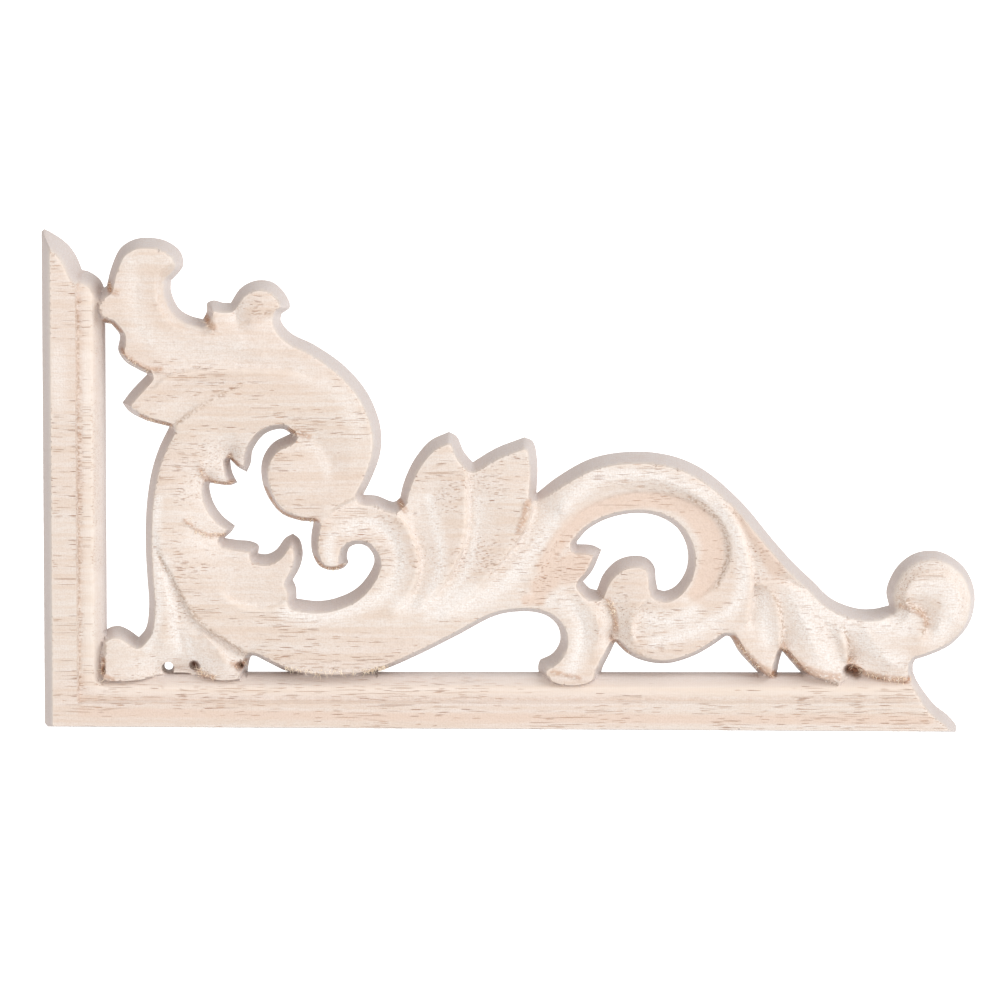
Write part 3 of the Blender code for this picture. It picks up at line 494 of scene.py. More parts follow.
def inside(points, loops):
    """Whether each point is inside the loops, by the even-odd rule."""
    odd = np.zeros(len(points), bool)
    for loop in loops:
        for (ax, az), (bx, bz) in zip(loop, np.roll(loop, -1, axis=0)):
            if az != bz:
                crosses = (az > points[:, 1]) != (bz > points[:, 1])
                odd ^= crosses & (points[:, 0] < ax + (points[:, 1] - az) * (bx - ax) / (bz - az))
    return odd


def line_distance(points, line):
    """Each point's distance to the line."""
    best = np.full(len(points), 1e9)
    for a, b in zip(line[:-1], line[1:]):
        along = b - a
        share = np.clip((points - a) @ along / max(along @ along, 1e-12), 0, 1)
        gap = points - a - share[:, None] * along
        best = np.minimum(best, np.einsum("ij,ij->i", gap, gap))
    return np.sqrt(best)


def shares(line):
    """How far along the line each of its points lies, from 0 to 1."""
    run = np.concatenate([[0], np.cumsum(np.linalg.norm(np.diff(line, axis=0), axis=1))])
    return run / run[-1]


def heights_along(line, heights):
    """The heights, spread evenly along the line, at each of its points."""
    return np.interp(shares(line), np.linspace(0, 1, len(heights)), heights)


def sideways(line):
    """The unit normal at each point of the line, to the left of its run."""
    run = np.gradient(line, axis=0)
    run /= np.linalg.norm(run, axis=1)[:, None]
    return np.stack([-run[:, 1], run[:, 0]], 1)


def step_rows(step, spacing, half):
    """The rows of points along a step's high and low edges, with the heights along them."""
    points, high, low, low_point = step
    line = smooth(face_to_mm(points), spacing)
    across = sideways(line)
    middle = len(line) // 2
    if (face_to_mm(low_point)[0] - line[middle]) @ across[middle] > 0:
        across = -across
    return (line + half * across, heights_along(line, high)), (line - half * across, heights_along(line, low))


class Raster:
    """Values on a square grid over the board, read between its nodes."""

    def __init__(self, low, high, pitch):
        self.low = np.array(low, float)
        self.pitch = pitch
        self.across, self.up = (int(side / pitch) + 2 for side in np.array(high) - low)
        self.x = self.low[0] + pitch * np.arange(self.across)
        self.z = self.low[1] + pitch * np.arange(self.up)
        self.values = None

    def nodes(self):
        return np.stack(np.meshgrid(self.x, self.z), -1).reshape(-1, 2)

    def at(self, points):
        place = np.clip((points - self.low) / self.pitch, 0, [self.across - 1.001, self.up - 1.001])
        cell = place.astype(int)
        rx, rz = (place - cell).T
        i, j = cell[:, 1], cell[:, 0]
        lower = self.values[i, j] * (1 - rx) + self.values[i, j + 1] * rx
        upper = self.values[i + 1, j] * (1 - rx) + self.values[i + 1, j + 1] * rx
        return lower * (1 - rz) + upper * rz

    def covered(self, loops):
        """Whether each node is inside the loops, by the even-odd rule."""
        turns = np.zeros((self.up, self.across + 1), int)
        for loop in loops:
            for (ax, az), (bx, bz) in zip(loop, np.roll(loop, -1, axis=0)):
                first, last = (math.ceil((z - self.low[1]) / self.pitch) for z in sorted((az, bz)))
                rows = np.arange(first, last)
                x = ax + (self.low[1] + rows * self.pitch - az) * (bx - ax) / (bz - az or 1)
                columns = np.ceil((x - self.low[0]) / self.pitch).astype(int)
                turns[rows, columns] += 1
        return np.cumsum(turns, axis=1)[:, :-1] % 2 == 1

    def fill_distance(self, lines, reach):
        """Each node's distance to the nearest of the lines, up to reach."""
        self.values = np.full((self.up, self.across), float(reach))
        for line in lines:
            for a, b in zip(line[:-1], line[1:]):
                self.near_segment(a, b, reach)

    def near_segment(self, a, b, reach):
        first = np.floor((np.minimum(a, b) - reach - self.low) / self.pitch).astype(int).clip(0)
        last = np.ceil((np.maximum(a, b) + reach - self.low) / self.pitch).astype(int).clip(0) + 1
        if (last <= first).any() or first[0] >= self.across or first[1] >= self.up:
            return
        x = self.x[first[0]:last[0]]
        z = self.z[first[1]:last[1], None]
        along = b - a
        share = ((x - a[0]) * along[0] + (z - a[1]) * along[1]) / max(along @ along, 1e-12)
        share = share.clip(0, 1)
        gap = np.hypot(x - a[0] - share * along[0], z - a[1] - share * along[1])
        part = self.values[first[1]:last[1], first[0]:last[0]]
        np.minimum(part, gap, out=part)


def closed(loop):
    return np.concatenate([loop, loop[:1]])


def relax(height, solid, fixed, pull):
    """The heights evened out within the solid, the fixed ones held, the rest drawn gently to the face."""
    keep = height.copy()
    weight = solid.astype(float)
    around = sum(np.roll(weight, shift, axis) for shift in (1, -1) for axis in (0, 1))
    for _ in range(FILM_PASSES):
        known = height * weight
        total = sum(np.roll(known, shift, axis) for shift in (1, -1) for axis in (0, 1))
        height = (total + pull * FACE) / (around + pull)
        height[fixed] = keep[fixed]
    return height


def held_lines(pitch):
    """The points along every fold and step, with the heights that they hold."""
    for points, heights in FOLDS:
        line = smooth(face_to_mm(points), pitch / 2)
        yield line, heights_along(line, heights)
    for step in STEPS:
        yield from step_rows(step, pitch / 2, HALF_STEP + pitch / 2)


def film_over(loops, low, high):
    """A film stretched over the scrollwork's face lines, as a raster of heights."""
    film = None
    for pitch in FILM_PITCHES:
        finer = Raster(low, high, pitch)
        nodes = finer.nodes()
        start = np.full(len(nodes), FACE) if film is None else film.at(nodes)
        start = start.reshape(finer.up, finer.across)
        solid = finer.covered(loops)
        for shift in (1, -1):
            solid = solid | np.roll(solid, shift, 0) | np.roll(solid, shift, 1)
        held = np.zeros_like(start)
        count = np.zeros_like(start)
        for line, values in held_lines(pitch):
            cell = np.round((line - finer.low) / pitch).astype(int)
            keep = (cell >= 0).all(axis=1) & (cell[:, 0] < finer.across) & (cell[:, 1] < finer.up)
            np.add.at(held, (cell[keep, 1], cell[keep, 0]), values[keep])
            np.add.at(count, (cell[keep, 1], cell[keep, 0]), 1)
        fixed = count > 0
        start[fixed] = held[fixed] / count[fixed]
        finer.values = relax(start, solid, fixed, (pitch / FILM_REACH) ** 2)
        film = finer
    return film


def lesser(a, b, soft):
    """The smaller of two heights, with the edge between them rounded over."""
    overlap = np.maximum(soft - np.abs(a - b), 0) / soft
    return np.minimum(a, b) - overlap * overlap * soft / 4


def wall_height(gap, lean, ledge):
    """A wall's height at a gap from its foot: upright to its ledge, then leaning to the face's height."""
    return np.minimum(ledge + gap * (FACE - ledge) / lean, gap * UPRIGHT)


class Carving:
    """The heights of both mouldings and of the scrollwork over the flat back."""

    def __init__(self, step, edge_round):
        self.edge_round = edge_round
        self.rail_strokes = [
            (to_mm(stroke) if len(stroke) == 2 else smooth(to_mm(stroke), step), lean, ledge)
            for stroke, (lean, ledge) in RAIL
        ]
        self.rail = [loop_of([stroke for stroke, _ in RAIL], step)]
        self.scroll = [loop_of(strokes, step) for strokes in (SCROLL, SPIRAL_GAP, ARC_GAP)]
        self.scroll.append(circle(*DRILLED))
        corners = np.concatenate(self.rail + self.scroll)
        low, high = corners.min(axis=0) - BOARD_MARGIN, corners.max(axis=0) + BOARD_MARGIN
        self.film = film_over(self.scroll, low, high)
        self.gap = Raster(low, high, GAP_PITCH)
        self.gap.fill_distance([closed(loop) for loop in self.scroll[:-1]], SCROLL_GAP_REACH)
        self.gap.values[~self.gap.covered(self.scroll)] *= -1
        self.rail_gap = Raster(low, high, GAP_PITCH)
        self.rail_gap.fill_distance([closed(self.rail[0])], RAIL_GAP_REACH)
        self.rail_gap.values[~self.rail_gap.covered(self.rail)] *= -1
        self.plunges = [(smooth(face_to_mm(path), step), tip, floor) for path, (tip, floor) in PLUNGES]
        self.shoulders = [(smooth(to_mm(line), step), foot, rise) for line, (foot, rise) in SHOULDERS]

    def rail_forms(self, points):
        """The moulding's profile and its walls' height at each point, the walls below 0 outside it."""
        top_u, foot_u = face_to_mm([(STEP_TOP_U, 0), (STEP_FOOT_U, 0)])[:, 0]
        top_v, foot_v = face_to_mm([(0, STEP_TOP_V), (0, STEP_FOOT_V)])[:, 1]
        across = np.clip((points[:, 0] - top_u) / (foot_u - top_u), 0, 1)
        up = np.clip((points[:, 1] - top_v) / (foot_v - top_v), 0, 1)
        face = RAIL_OUTER - (RAIL_OUTER - RAIL_INNER) * np.minimum(across, up)
        wall = np.min([
            wall_height(line_distance(points, line), lean, ledge) for line, lean, ledge in self.rail_strokes
        ], axis=0)
        return face, np.where(self.rail_gap.at(points) > 0, wall, -1)

    def scroll_forms(self, points):
        """The scrollwork's face and its walls' height at each point, the walls below 0 outside it."""
        gap = self.gap.at(points)
        face = self.film.at(points) - ROUND_OFF * np.exp(-np.abs(gap) / ROUND_REACH)
        for line, foot, rise in self.shoulders:
            face = np.minimum(face, foot + rise * line_distance(points, line))
        wall = np.minimum(gap * FACE / WALL_LEAN, self.past_drilled(points) * FACE / DRILL_LEAN)
        return face, np.where(gap > 0, wall, -1)

    def past_drilled(self, points):
        """How far each point lies outside the drilled hole."""
        middle_u, middle_v, radius = DRILLED
        return np.linalg.norm(points - to_mm([(middle_u, middle_v)]), axis=1) - radius * GRID_X

    def plunge_at(self, points):
        return np.min([
            floor + np.maximum(line_distance(points, path) - tip, 0) * FACE / WALL_LEAN
            for path, tip, floor in self.plunges
        ], axis=0)

    def within(self, points, margin=0.0):
        return (self.gap.at(points) > margin) | (self.rail_gap.at(points) > margin)

    def height(self, points):
        """The carved front's height, and the marks for the wood's colour at each point, painted highlight,
        sheen and shade among them, every mark from 0 to 1.
        """
        rail_face, rail_wall = self.rail_forms(points)
        scroll_face, scroll_wall = self.scroll_forms(points)
        rail = lesser(rail_face, rail_wall, self.edge_round)
        scroll = lesser(scroll_face, scroll_wall, self.edge_round)
        on_scroll = scroll > rail
        inner = np.min([line_distance(points, line) for line, _, ledge in self.rail_strokes if ledge], axis=0)
        share = np.where(inner < INNER_REACH, INNER_WALL_SHARE, RAIL_WALL_SHARE)
        over = np.where(on_scroll, scroll_face - scroll_wall, (rail_face - rail_wall) * share)
        plunge = self.plunge_at(points)
        top = np.maximum(rail, scroll)
        # Burn with painted shade: the deeper a cut goes, the browner and darker it is drawn.
        deep_burn_and_shade = 1 - (plunge - PIT_FLOOR) / BURN_AND_SHADE_HEIGHT
        marks = {
            # How much of the walls' tint shows: partly their own cut finish, partly a painted sheen.
            "wall": np.where(plunge < top, PLUNGE_SHARE, over / WALL_START),
            # A painted highlight along the face's edges, where it meets its walls.
            "crest": np.where(plunge < top, 0.0, 1 - np.abs(over) / EDGE_BAND),
            # Whitening in the face's hollows: the lower the face, the whiter.
            "whitening": np.where(on_scroll, (HOLLOW_TOP - self.film.at(points)) / HOLLOW_DEPTH, 0.0),
            "burn_and_shade": np.maximum(deep_burn_and_shade, DRILL_BURN_AND_SHADE - self.past_drilled(points) / DRILL_LEAN),
        }
        return np.minimum(top, plunge), {name: np.clip(mark, 0, 1) for name, mark in marks.items()}


def crossings(values, raster, wanted):
    """Where the raster's values pass through 0 between neighbours that are both wanted."""
    found = []
    for axis in (0, 1):
        first = [slice(None), slice(None)]
        second = [slice(None), slice(None)]
        first[axis], second[axis] = slice(None, -1), slice(1, None)
        a, b = values[tuple(first)], values[tuple(second)]
        i, j = np.nonzero((a * b < 0) & wanted[tuple(first)] & wanted[tuple(second)])
        share = a[i, j] / (a[i, j] - b[i, j])
        found.append(np.stack([
            raster.x[j] + share * raster.pitch * axis, raster.z[i] + share * raster.pitch * (1 - axis),
        ], 1))
    return np.concatenate(found)


class Spread:
    """Points kept at least a given gap apart, found by the square of a grid that they fall in."""

    def __init__(self, points):
        self.points = []
        self.cells = {}
        for point in points:
            self.put(point)

    def put(self, point):
        cell = math.floor(point[0]), math.floor(point[1])
        self.cells.setdefault(cell, []).append(point)
        self.points.append(point)

    def add(self, points, gap):
        for point in points.tolist():
            i, j = math.floor(point[0]), math.floor(point[1])
            near = (
                other
                for di in (-1, 0, 1)
                for dj in (-1, 0, 1)
                for other in self.cells.get((i + di, j + dj), ())
            )
            if all(math.dist(point, other) >= gap for other in near):
                self.put(point)


def feature_points(carving):
    """Points where one form of the surface meets the next, so that the mesh has edges there."""
    raster = Raster(carving.gap.low, [carving.gap.x[-1], carving.gap.z[-1]], FORM_PITCH)
    nodes = raster.nodes()
    shape = (raster.up, raster.across)
    near = carving.within(nodes)
    forms = np.full((5, len(nodes)), -1.0)
    forms[0, near], forms[1, near] = carving.rail_forms(nodes[near])
    forms[2, near], forms[3, near] = carving.scroll_forms(nodes[near])
    forms[4, near] = carving.plunge_at(nodes[near])
    rail_face, rail_wall, scroll_face, scroll_wall, plunge = forms.reshape(5, *shape)
    rail = np.minimum(rail_face, rail_wall)
    scroll = np.minimum(scroll_face, scroll_wall)
    before = np.maximum(rail, scroll)
    in_scroll = (scroll_wall > 0) & (scroll >= rail - MEETING) & (plunge > before - MEETING)
    in_rail = (rail_wall > 0) & (rail >= scroll - MEETING) & (plunge > before - MEETING)
    slope_z, slope_x = np.gradient(scroll_wall, raster.pitch)
    lean = np.hypot(slope_x, slope_z) / (FACE / WALL_LEAN)
    i, j = np.nonzero(in_scroll & (lean < CREST_LEAN) & (scroll_wall < scroll_face) & (scroll_wall > 1))
    return [
        crossings(rail - scroll, raster, (rail_wall > 0) & (scroll_wall > 0) & (plunge > before - MEETING)),
        crossings(plunge - before, raster, before > 0),
        crossings(scroll_face - scroll_wall, raster, in_scroll),
        crossings(rail_face - rail_wall, raster, in_rail),
        np.stack([raster.x[j], raster.z[i]], 1),
    ]


def honeycomb(low, high, pitch):
    """Evenly spread points over a box, in offset rows."""
    rows = np.arange(low[1], high[1], pitch * math.sqrt(3) / 2)
    columns = np.arange(low[0], high[0], pitch)
    x, z = np.meshgrid(columns, rows)
    x[1::2] += pitch / 2
    return np.stack([x, z], -1).reshape(-1, 2)


def bare_edges(loops, hidden_by, start):
    """Index pairs of the loops' edges that aren't hidden inside the other outline."""
    pairs = []
    for loop in loops:
        hidden = inside(loop, hidden_by)
        count = len(loop)
        pairs += [
            (start + i, start + (i + 1) % count)
            for i in range(count) if not (hidden[i] and hidden[(i + 1) % count])
        ]
        start += count
    return pairs


def triangulate(points, edges):
    made, _, faces, *_ = geometry.delaunay_2d_cdt([Vector(p) for p in points], edges, [], 0, CDT_EPSILON)
    return np.array([tuple(p) for p in made]), np.array([tuple(face) for face in faces])


def edges_of(faces):
    """Each edge once, as its first face runs along it, and how many faces it has."""
    ends = np.concatenate([faces[:, [0, 1]], faces[:, [1, 2]], faces[:, [2, 0]]])
    _, first, count = np.unique(np.sort(ends, axis=1), axis=0, return_index=True, return_counts=True)
    return ends[first], count


def boundary(faces):
    """The edges that belong to one face only."""
    ends, count = edges_of(faces)
    return ends[count == 1]


def tree_of(points):
    """A search tree over the (x, z) points."""
    tree = kdtree.KDTree(len(points))
    for i, (x, z) in enumerate(points):
        tree.insert((x, z, 0), i)
    tree.balance()
    return tree


def front_mesh(carving, outline_step, edge_step, face_step):
    """The points and triangles that cover the board from the front."""
    outlines = np.concatenate(carving.rail + carving.scroll)
    edges = bare_edges(carving.rail, carving.scroll, 0)
    edges += bare_edges(carving.scroll, carving.rail, len(carving.rail[0]))
    used = sorted({i for edge in edges for i in edge})
    order = {old: new for new, old in enumerate(used)}
    edges = [(order[a], order[b]) for a, b in edges]
    spread = Spread(outlines[used].tolist())
    spread.add(ledge_rows(carving, outline_step), LEDGE_GAP * LEDGE_REACH)
    for points in feature_points(carving):
        spread.add(points[carving.within(points, EDGE_GAP)], edge_step)
    for step in STEPS:
        for line, _ in step_rows(step, edge_step, HALF_STEP):
            spread.add(line[carving.within(line, EDGE_GAP)], edge_step * ROW_REACH)
    for points, _ in FOLDS:
        line = smooth(face_to_mm(points), edge_step)
        spread.add(line[carving.within(line, EDGE_GAP)], edge_step * ROW_REACH)
    spread.add(moulding_rows(carving, edge_step), edge_step * ROW_REACH)
    tree = tree_of(spread.points)
    fill = honeycomb(outlines.min(axis=0), outlines.max(axis=0), face_step)
    fill = fill[carving.within(fill, EDGE_GAP)]
    clear = [tree.find((x, z, 0))[2] > face_step * FILL_REACH for x, z in fill.tolist()]
    spread = spread.points + fill[clear].tolist()
    for _ in range(CHORD_PASSES):
        points, faces = triangulate(spread, edges)
        middles = points[faces].mean(axis=1)
        faces = faces[inside(middles, carving.rail) | inside(middles, carving.scroll)]
        spread += chord_middles(points, faces).tolist()
    return points, faces


def ledge_rows(carving, spacing):
    """Points over the upright foot of the moulding's inner walls, in step with the outline's own."""
    rows = []
    for line, _, ledge in carving.rail_strokes:
        if ledge:
            line = smooth([line[0], line[-1]], spacing)
            rows += [line + LEDGE_GAP * sideways(line), line - LEDGE_GAP * sideways(line)]
    rows = np.concatenate(rows)
    return rows[carving.rail_gap.at(rows) > EDGE_GAP * LEDGE_REACH]


def chord_middles(points, faces):
    """The middles of the inner edges that join two rim points, where the surface would lie in the back."""
    ends, count = edges_of(faces)
    on_rim = np.isin(np.arange(len(points)), ends[count == 1])
    chords = ends[(count == 2) & on_rim[ends].all(axis=1)]
    return points[chords].mean(axis=1)


def moulding_lines():
    """The lines along the top and the foot of the moulding's step, and along its groove's far side."""
    for u, v in ((STEP_TOP_U, STEP_TOP_V), (STEP_FOOT_U, STEP_FOOT_V), (GROOVE_U, GROOVE_V)):
        corner = face_to_mm([(u, RAIL_TOP_V), (u, v), (RAIL_END_U, v)])
        yield corner[:2]
        yield corner[1:]


def moulding_rows(carving, spacing):
    """The rows of points along the moulding's step."""
    rows = np.concatenate([smooth(line, spacing) for line in moulding_lines()])
    return rows[carving.within(rows, EDGE_GAP)]


def back_faces(points, faces, carving):
    """Triangles that close the back on the front's own rim."""
    rim = boundary(faces)
    rim_points = np.unique(rim)
    place = {old: new for new, old in enumerate(rim_points.tolist())}
    edges = [(place[a], place[b]) for a, b in rim.tolist()]
    made, back = triangulate(points[rim_points], edges)
    if len(made) != len(rim_points):
        raise RuntimeError("the back's outline crosses itself")
    middles = made[back].mean(axis=1)
    back = back[inside(middles, carving.rail) | inside(middles, carving.scroll)]
    return rim_points, rim_points[back][:, ::-1]


def crest_at(points):
    """How strongly each point takes the painted highlight along the face's crisp ridges, from 0 to 1."""
    nearest = np.zeros(len(points))
    for step in STEPS:
        (line, high), (_, low) = step_rows(step, 0.5, HALF_STEP)
        tree = tree_of(line.tolist())
        sharp = np.clip((high - low) / RIDGE_DROP, 0, 1)
        box = (points > line.min(axis=0) - 1).all(axis=1) & (points < line.max(axis=0) + 1).all(axis=1)
        for i in np.nonzero(box)[0].tolist():
            _, at, gap = tree.find((*points[i], 0))
            nearest[i] = max(nearest[i], sharp[at] * (1 - gap / RIDGE_REACH))
    return np.clip(nearest, 0, 1)


def zone(points, lines, firmness=1.0):
    """How strongly each point lies in a zone, from 0 to 1; a firmer zone has a wider core."""
    strength = np.zeros(len(points))
    for line, (reach,) in lines:
        part = 1 - line_distance(points, smooth(face_to_mm(line), 1.5)) / reach
        strength = np.maximum(strength, part * firmness)
    strength = np.clip(strength, 0, 1)
    return strength * strength * (3 - 2 * strength)


def tone(red, green, blue):
    """A colour given as screen values from 0 to 255, as Blender's own linear one."""
    return tuple(((c / 255 + 0.055) / 1.055) ** 2.4 for c in (red, green, blue))


class Nodes:
    """Adds nodes to a material and joins them: an input takes a number, a colour or another node's output."""

    def __init__(self, name):
        self.material = bpy.data.materials.new(name)
        self.material.use_nodes = True
        self.tree = self.material.node_tree
        self.surface = self.tree.nodes["Principled BSDF"]

    def add(self, kind, inputs=(), output=0, **settings):
        node = self.tree.nodes.new("ShaderNode" + kind)
        for name, value in settings.items():
            setattr(node, name, value)
        for key, value in dict(inputs).items():
            self.put(node.inputs[key], value)
        return node.outputs[output]

    def put(self, socket, value):
        if isinstance(value, bpy.types.NodeSocket):
            self.tree.links.new(value, socket)
        elif socket.type == "RGBA":
            socket.default_value = (*value, 1)
        else:
            socket.default_value = value

    def dress(self, inputs):
        """Set the surface's own inputs."""
        for name, value in inputs.items():
            self.put(self.surface.inputs[name], value)

    def math(self, operation, first, second=0.0, clamp=False):
        return self.add("Math", {0: first, 1: second}, operation=operation, use_clamp=clamp)

    def times(self, first, second):
        return self.math("MULTIPLY", first, second)

    def rest(self, share):
        """What the share leaves of 1."""
        return self.math("SUBTRACT", 1.0, share, clamp=True)

    def mix(self, share, first, second):
        """The second colour laid over the first by the share."""
        return self.add("Mix", {0: share, 6: first, 7: second}, output=2, data_type="RGBA")

    def ramp(self, value, low, high):
        """0 where the value is at low, 1 where it is at high, and eased between them."""
        return self.add("MapRange", {0: value, 1: low, 2: high}, interpolation_type="SMOOTHSTEP")

    def stretched(self, place, scale):
        return self.add("VectorMath", {0: place, 1: scale}, operation="MULTIPLY")

    def noise(self, place, scale, detail=2.0, output=0):
        inputs = {"Vector": self.stretched(place, scale), "Scale": 1.0, "Detail": detail}
        return self.add("TexNoise", inputs, output=output)

    def cells(self, place, scale, randomness=1.0):
        """A pattern of cells: the distance from each cell's middle, and the cell's own colour."""
        inputs = {"Vector": self.stretched(place, scale), "Scale": 1.0, "Randomness": randomness}
        distance = self.add("TexVoronoi", inputs)
        return distance, distance.node.outputs["Color"]

    def attribute(self, name):
        return self.add("Attribute", output="Fac", attribute_name=name)


def pores(nodes, place, length, width, kept, patches):
    """Open pores as dashes along the grain, in patches, from 0 to 1."""
    reach = 0.3
    distance, colour = nodes.cells(place, (2 * reach / length, 2 * reach / width, 2 * reach / width))
    chance = nodes.add("SeparateColor", {0: colour})
    chosen = nodes.math("LESS_THAN", chance, nodes.times(patches, kept))
    return nodes.times(nodes.ramp(distance, reach, reach * 0.5), chosen)


def pale_wood(finish):
    """Bare, machine-carved rubberwood, its grain along X."""
    nodes = Nodes("bare_pale_wood")
    place = nodes.add("TexCoord", output="Object")
    bend = nodes.noise(place, (35, 120, 120), output=1)
    bend = nodes.add("VectorMath", {0: bend, 1: (-0.5, -0.5, -0.5)}, operation="ADD")
    bent = nodes.add("VectorMath", {0: bend, 1: (0.0016, 0.0016, 0.0016), 2: place}, operation="MULTIPLY_ADD")
    wall, whitening, crest, frayed = map(nodes.attribute, ("wall", "whitening", "crest", "frayed"))

    patches = nodes.ramp(nodes.noise(place, (40, 90, 120), 1.0), 0.36, 0.62)
    fine = pores(nodes, bent, finish.pore_length, finish.pore_width, 0.55, patches)
    long = pores(nodes, bent, finish.pore_length * 4.5, finish.pore_width * 0.8, 0.8, patches)
    dark = pores(nodes, bent, finish.pore_length * 1.3, finish.pore_width * 1.1, 0.2, patches)
    faded = nodes.rest(nodes.math("MAXIMUM", nodes.times(wall, 0.7), nodes.times(whitening, 0.4)))
    pale = nodes.times(nodes.math("MAXIMUM", fine, long), faded)
    deep = nodes.times(dark, faded)

    fibres = nodes.noise(bent, (500, 4200, 4200), 2.0)
    grit = nodes.noise(place, (2900, 2900, 2900), 1.0)
    marks, _ = nodes.cells(place, (2300, 2300, 2300), 0.8)
    marks = nodes.times(nodes.ramp(marks, 0.3, 0.8), whitening)
    passes = nodes.math("SINE", nodes.times(nodes.add("SeparateXYZ", {0: bent}), 13000))
    passes = nodes.times(nodes.ramp(passes, -0.2, 1.0), nodes.ramp(grit, 0.4, 0.6))
    # The fine grain texture fades under the painted highlight.
    bare = nodes.rest(nodes.math("MULTIPLY", crest, 0.85, clamp=True))
    dots = nodes.ramp(nodes.noise(place, (1700, 1700, 2300), 1.0), 0.42, 0.62)
    shreds = nodes.times(frayed, nodes.ramp(nodes.noise(place, (1300, 2600, 2600), 2.0), 0.28, 0.52))
    # Each layer over the face: where it shows, how strongly, and its colour.
    layers = (
        (nodes.ramp(nodes.noise(place, (14, 60, 75), 2.0), 0.36, 0.66), 0.6, finish.face_rose),
        (nodes.ramp(nodes.noise(bent, (22, 900, 1100), 3.0), 0.35, 0.7), 0.5, finish.streak),
        (nodes.attribute("warm"), 0.95, finish.warm),
        # Whiter, rougher patches, which over the right-hand leaves are painted light.
        (whitening, 0.92, finish.whitening),
        # Walls: partly their own cut tone, partly a painted sheen, with painted shade on those that face
        # left.
        (wall, 0.9, nodes.mix(nodes.attribute("painted_left_shade"), finish.wall, finish.painted_left_shade)),
        # Painted highlight along edges and ridges.
        (crest, 0.4, finish.crest),
        (passes, 0.09, finish.mark),
        (nodes.times(nodes.ramp(grit, 0.6, 0.3), bare), 0.26, finish.mark),
        (nodes.times(nodes.ramp(fibres, 0.58, 0.34), bare), 0.3, finish.streak),
        (marks, 0.1, finish.mark),
        # Dark dots along step edges and the groove: partly cutter marks, partly painted shade.
        (nodes.times(dots, nodes.attribute("dots_and_crease_shade")), 0.85, finish.mark),
        (pale, 0.62, finish.pore),
        (deep, 0.78, finish.dark_pore),
        (nodes.times(shreds, nodes.add("MapRange", {0: wall, 3: 0.5, 4: 1.0})), 1.0, finish.torn),
        # Burn with painted shade in the deep cuts and along the groove.
        (nodes.attribute("burn_and_shade"), 1.0, finish.burn_and_shade),
    )
    colour = finish.face
    for share, strength, tint in layers:
        colour = nodes.mix(nodes.times(share, strength), colour, tint)
    fuzz = nodes.times(nodes.noise(place, (1500, 3000, 3000), 2.0), frayed)
    open_pores = nodes.math("MAXIMUM", pale, deep)
    # Each relief: where it shows, and about how far it rises in millimetres.
    reliefs = ((open_pores, -0.08), (marks, -0.03), (fibres, 0.06), (grit, 0.04), (fuzz, 0.3))
    height = 0.0
    for relief, rise in reliefs:
        height = nodes.math("ADD", height, nodes.times(relief, rise))
    nodes.dress({
        "Base Color": colour,
        "Roughness": nodes.add("MapRange", {0: whitening, 3: 0.56, 4: 0.85}),
        "Specular IOR Level": 0.45,
        "Normal": nodes.add("Bump", {"Height": height, "Distance": 0.001, "Strength": 0.85}),
    })
    return nodes.material


def length(name, words, value, least=0.0, most=1.0):
    return FloatProperty(
        name=name, description=words, default=value, min=least, max=most, precision=5, subtype="DISTANCE",
        unit="LENGTH",
    )


def colour(name, words, value):
    return FloatVectorProperty(
        name=name, description=words, default=value, min=0, max=1, subtype="COLOR", size=3,
    )


def power(name, words, value):
    return FloatProperty(name=name, description=words, default=value, min=0, unit="POWER")


class OnlayForm(PropertyGroup):
    """How finely the carved board is meshed, and its small relief."""

    face_spacing: length("Face spacing", "How far apart points on the faces are", 0.00043, 0.0003, 0.002)
    edge_spacing: length("Edge spacing", "How far apart points along folds are", 0.00034, 0.0002, 0.002)
    outline_spacing: length("Outline spacing", "How far apart points on outlines are", 0.0004, 0.0002, 0.002)
    edge_round: length("Edge rounding", "How far down a face's edge is rounded over", 0.0004, 0.0001, 0.003)
    groove_depth: length("Groove depth", "How deep the groove at the moulding's step is", 0.00035, 0, 0.001)
    tear_height: length("Torn grain", "How far torn grain stands up or breaks out", 0.00016, 0, 0.0005)


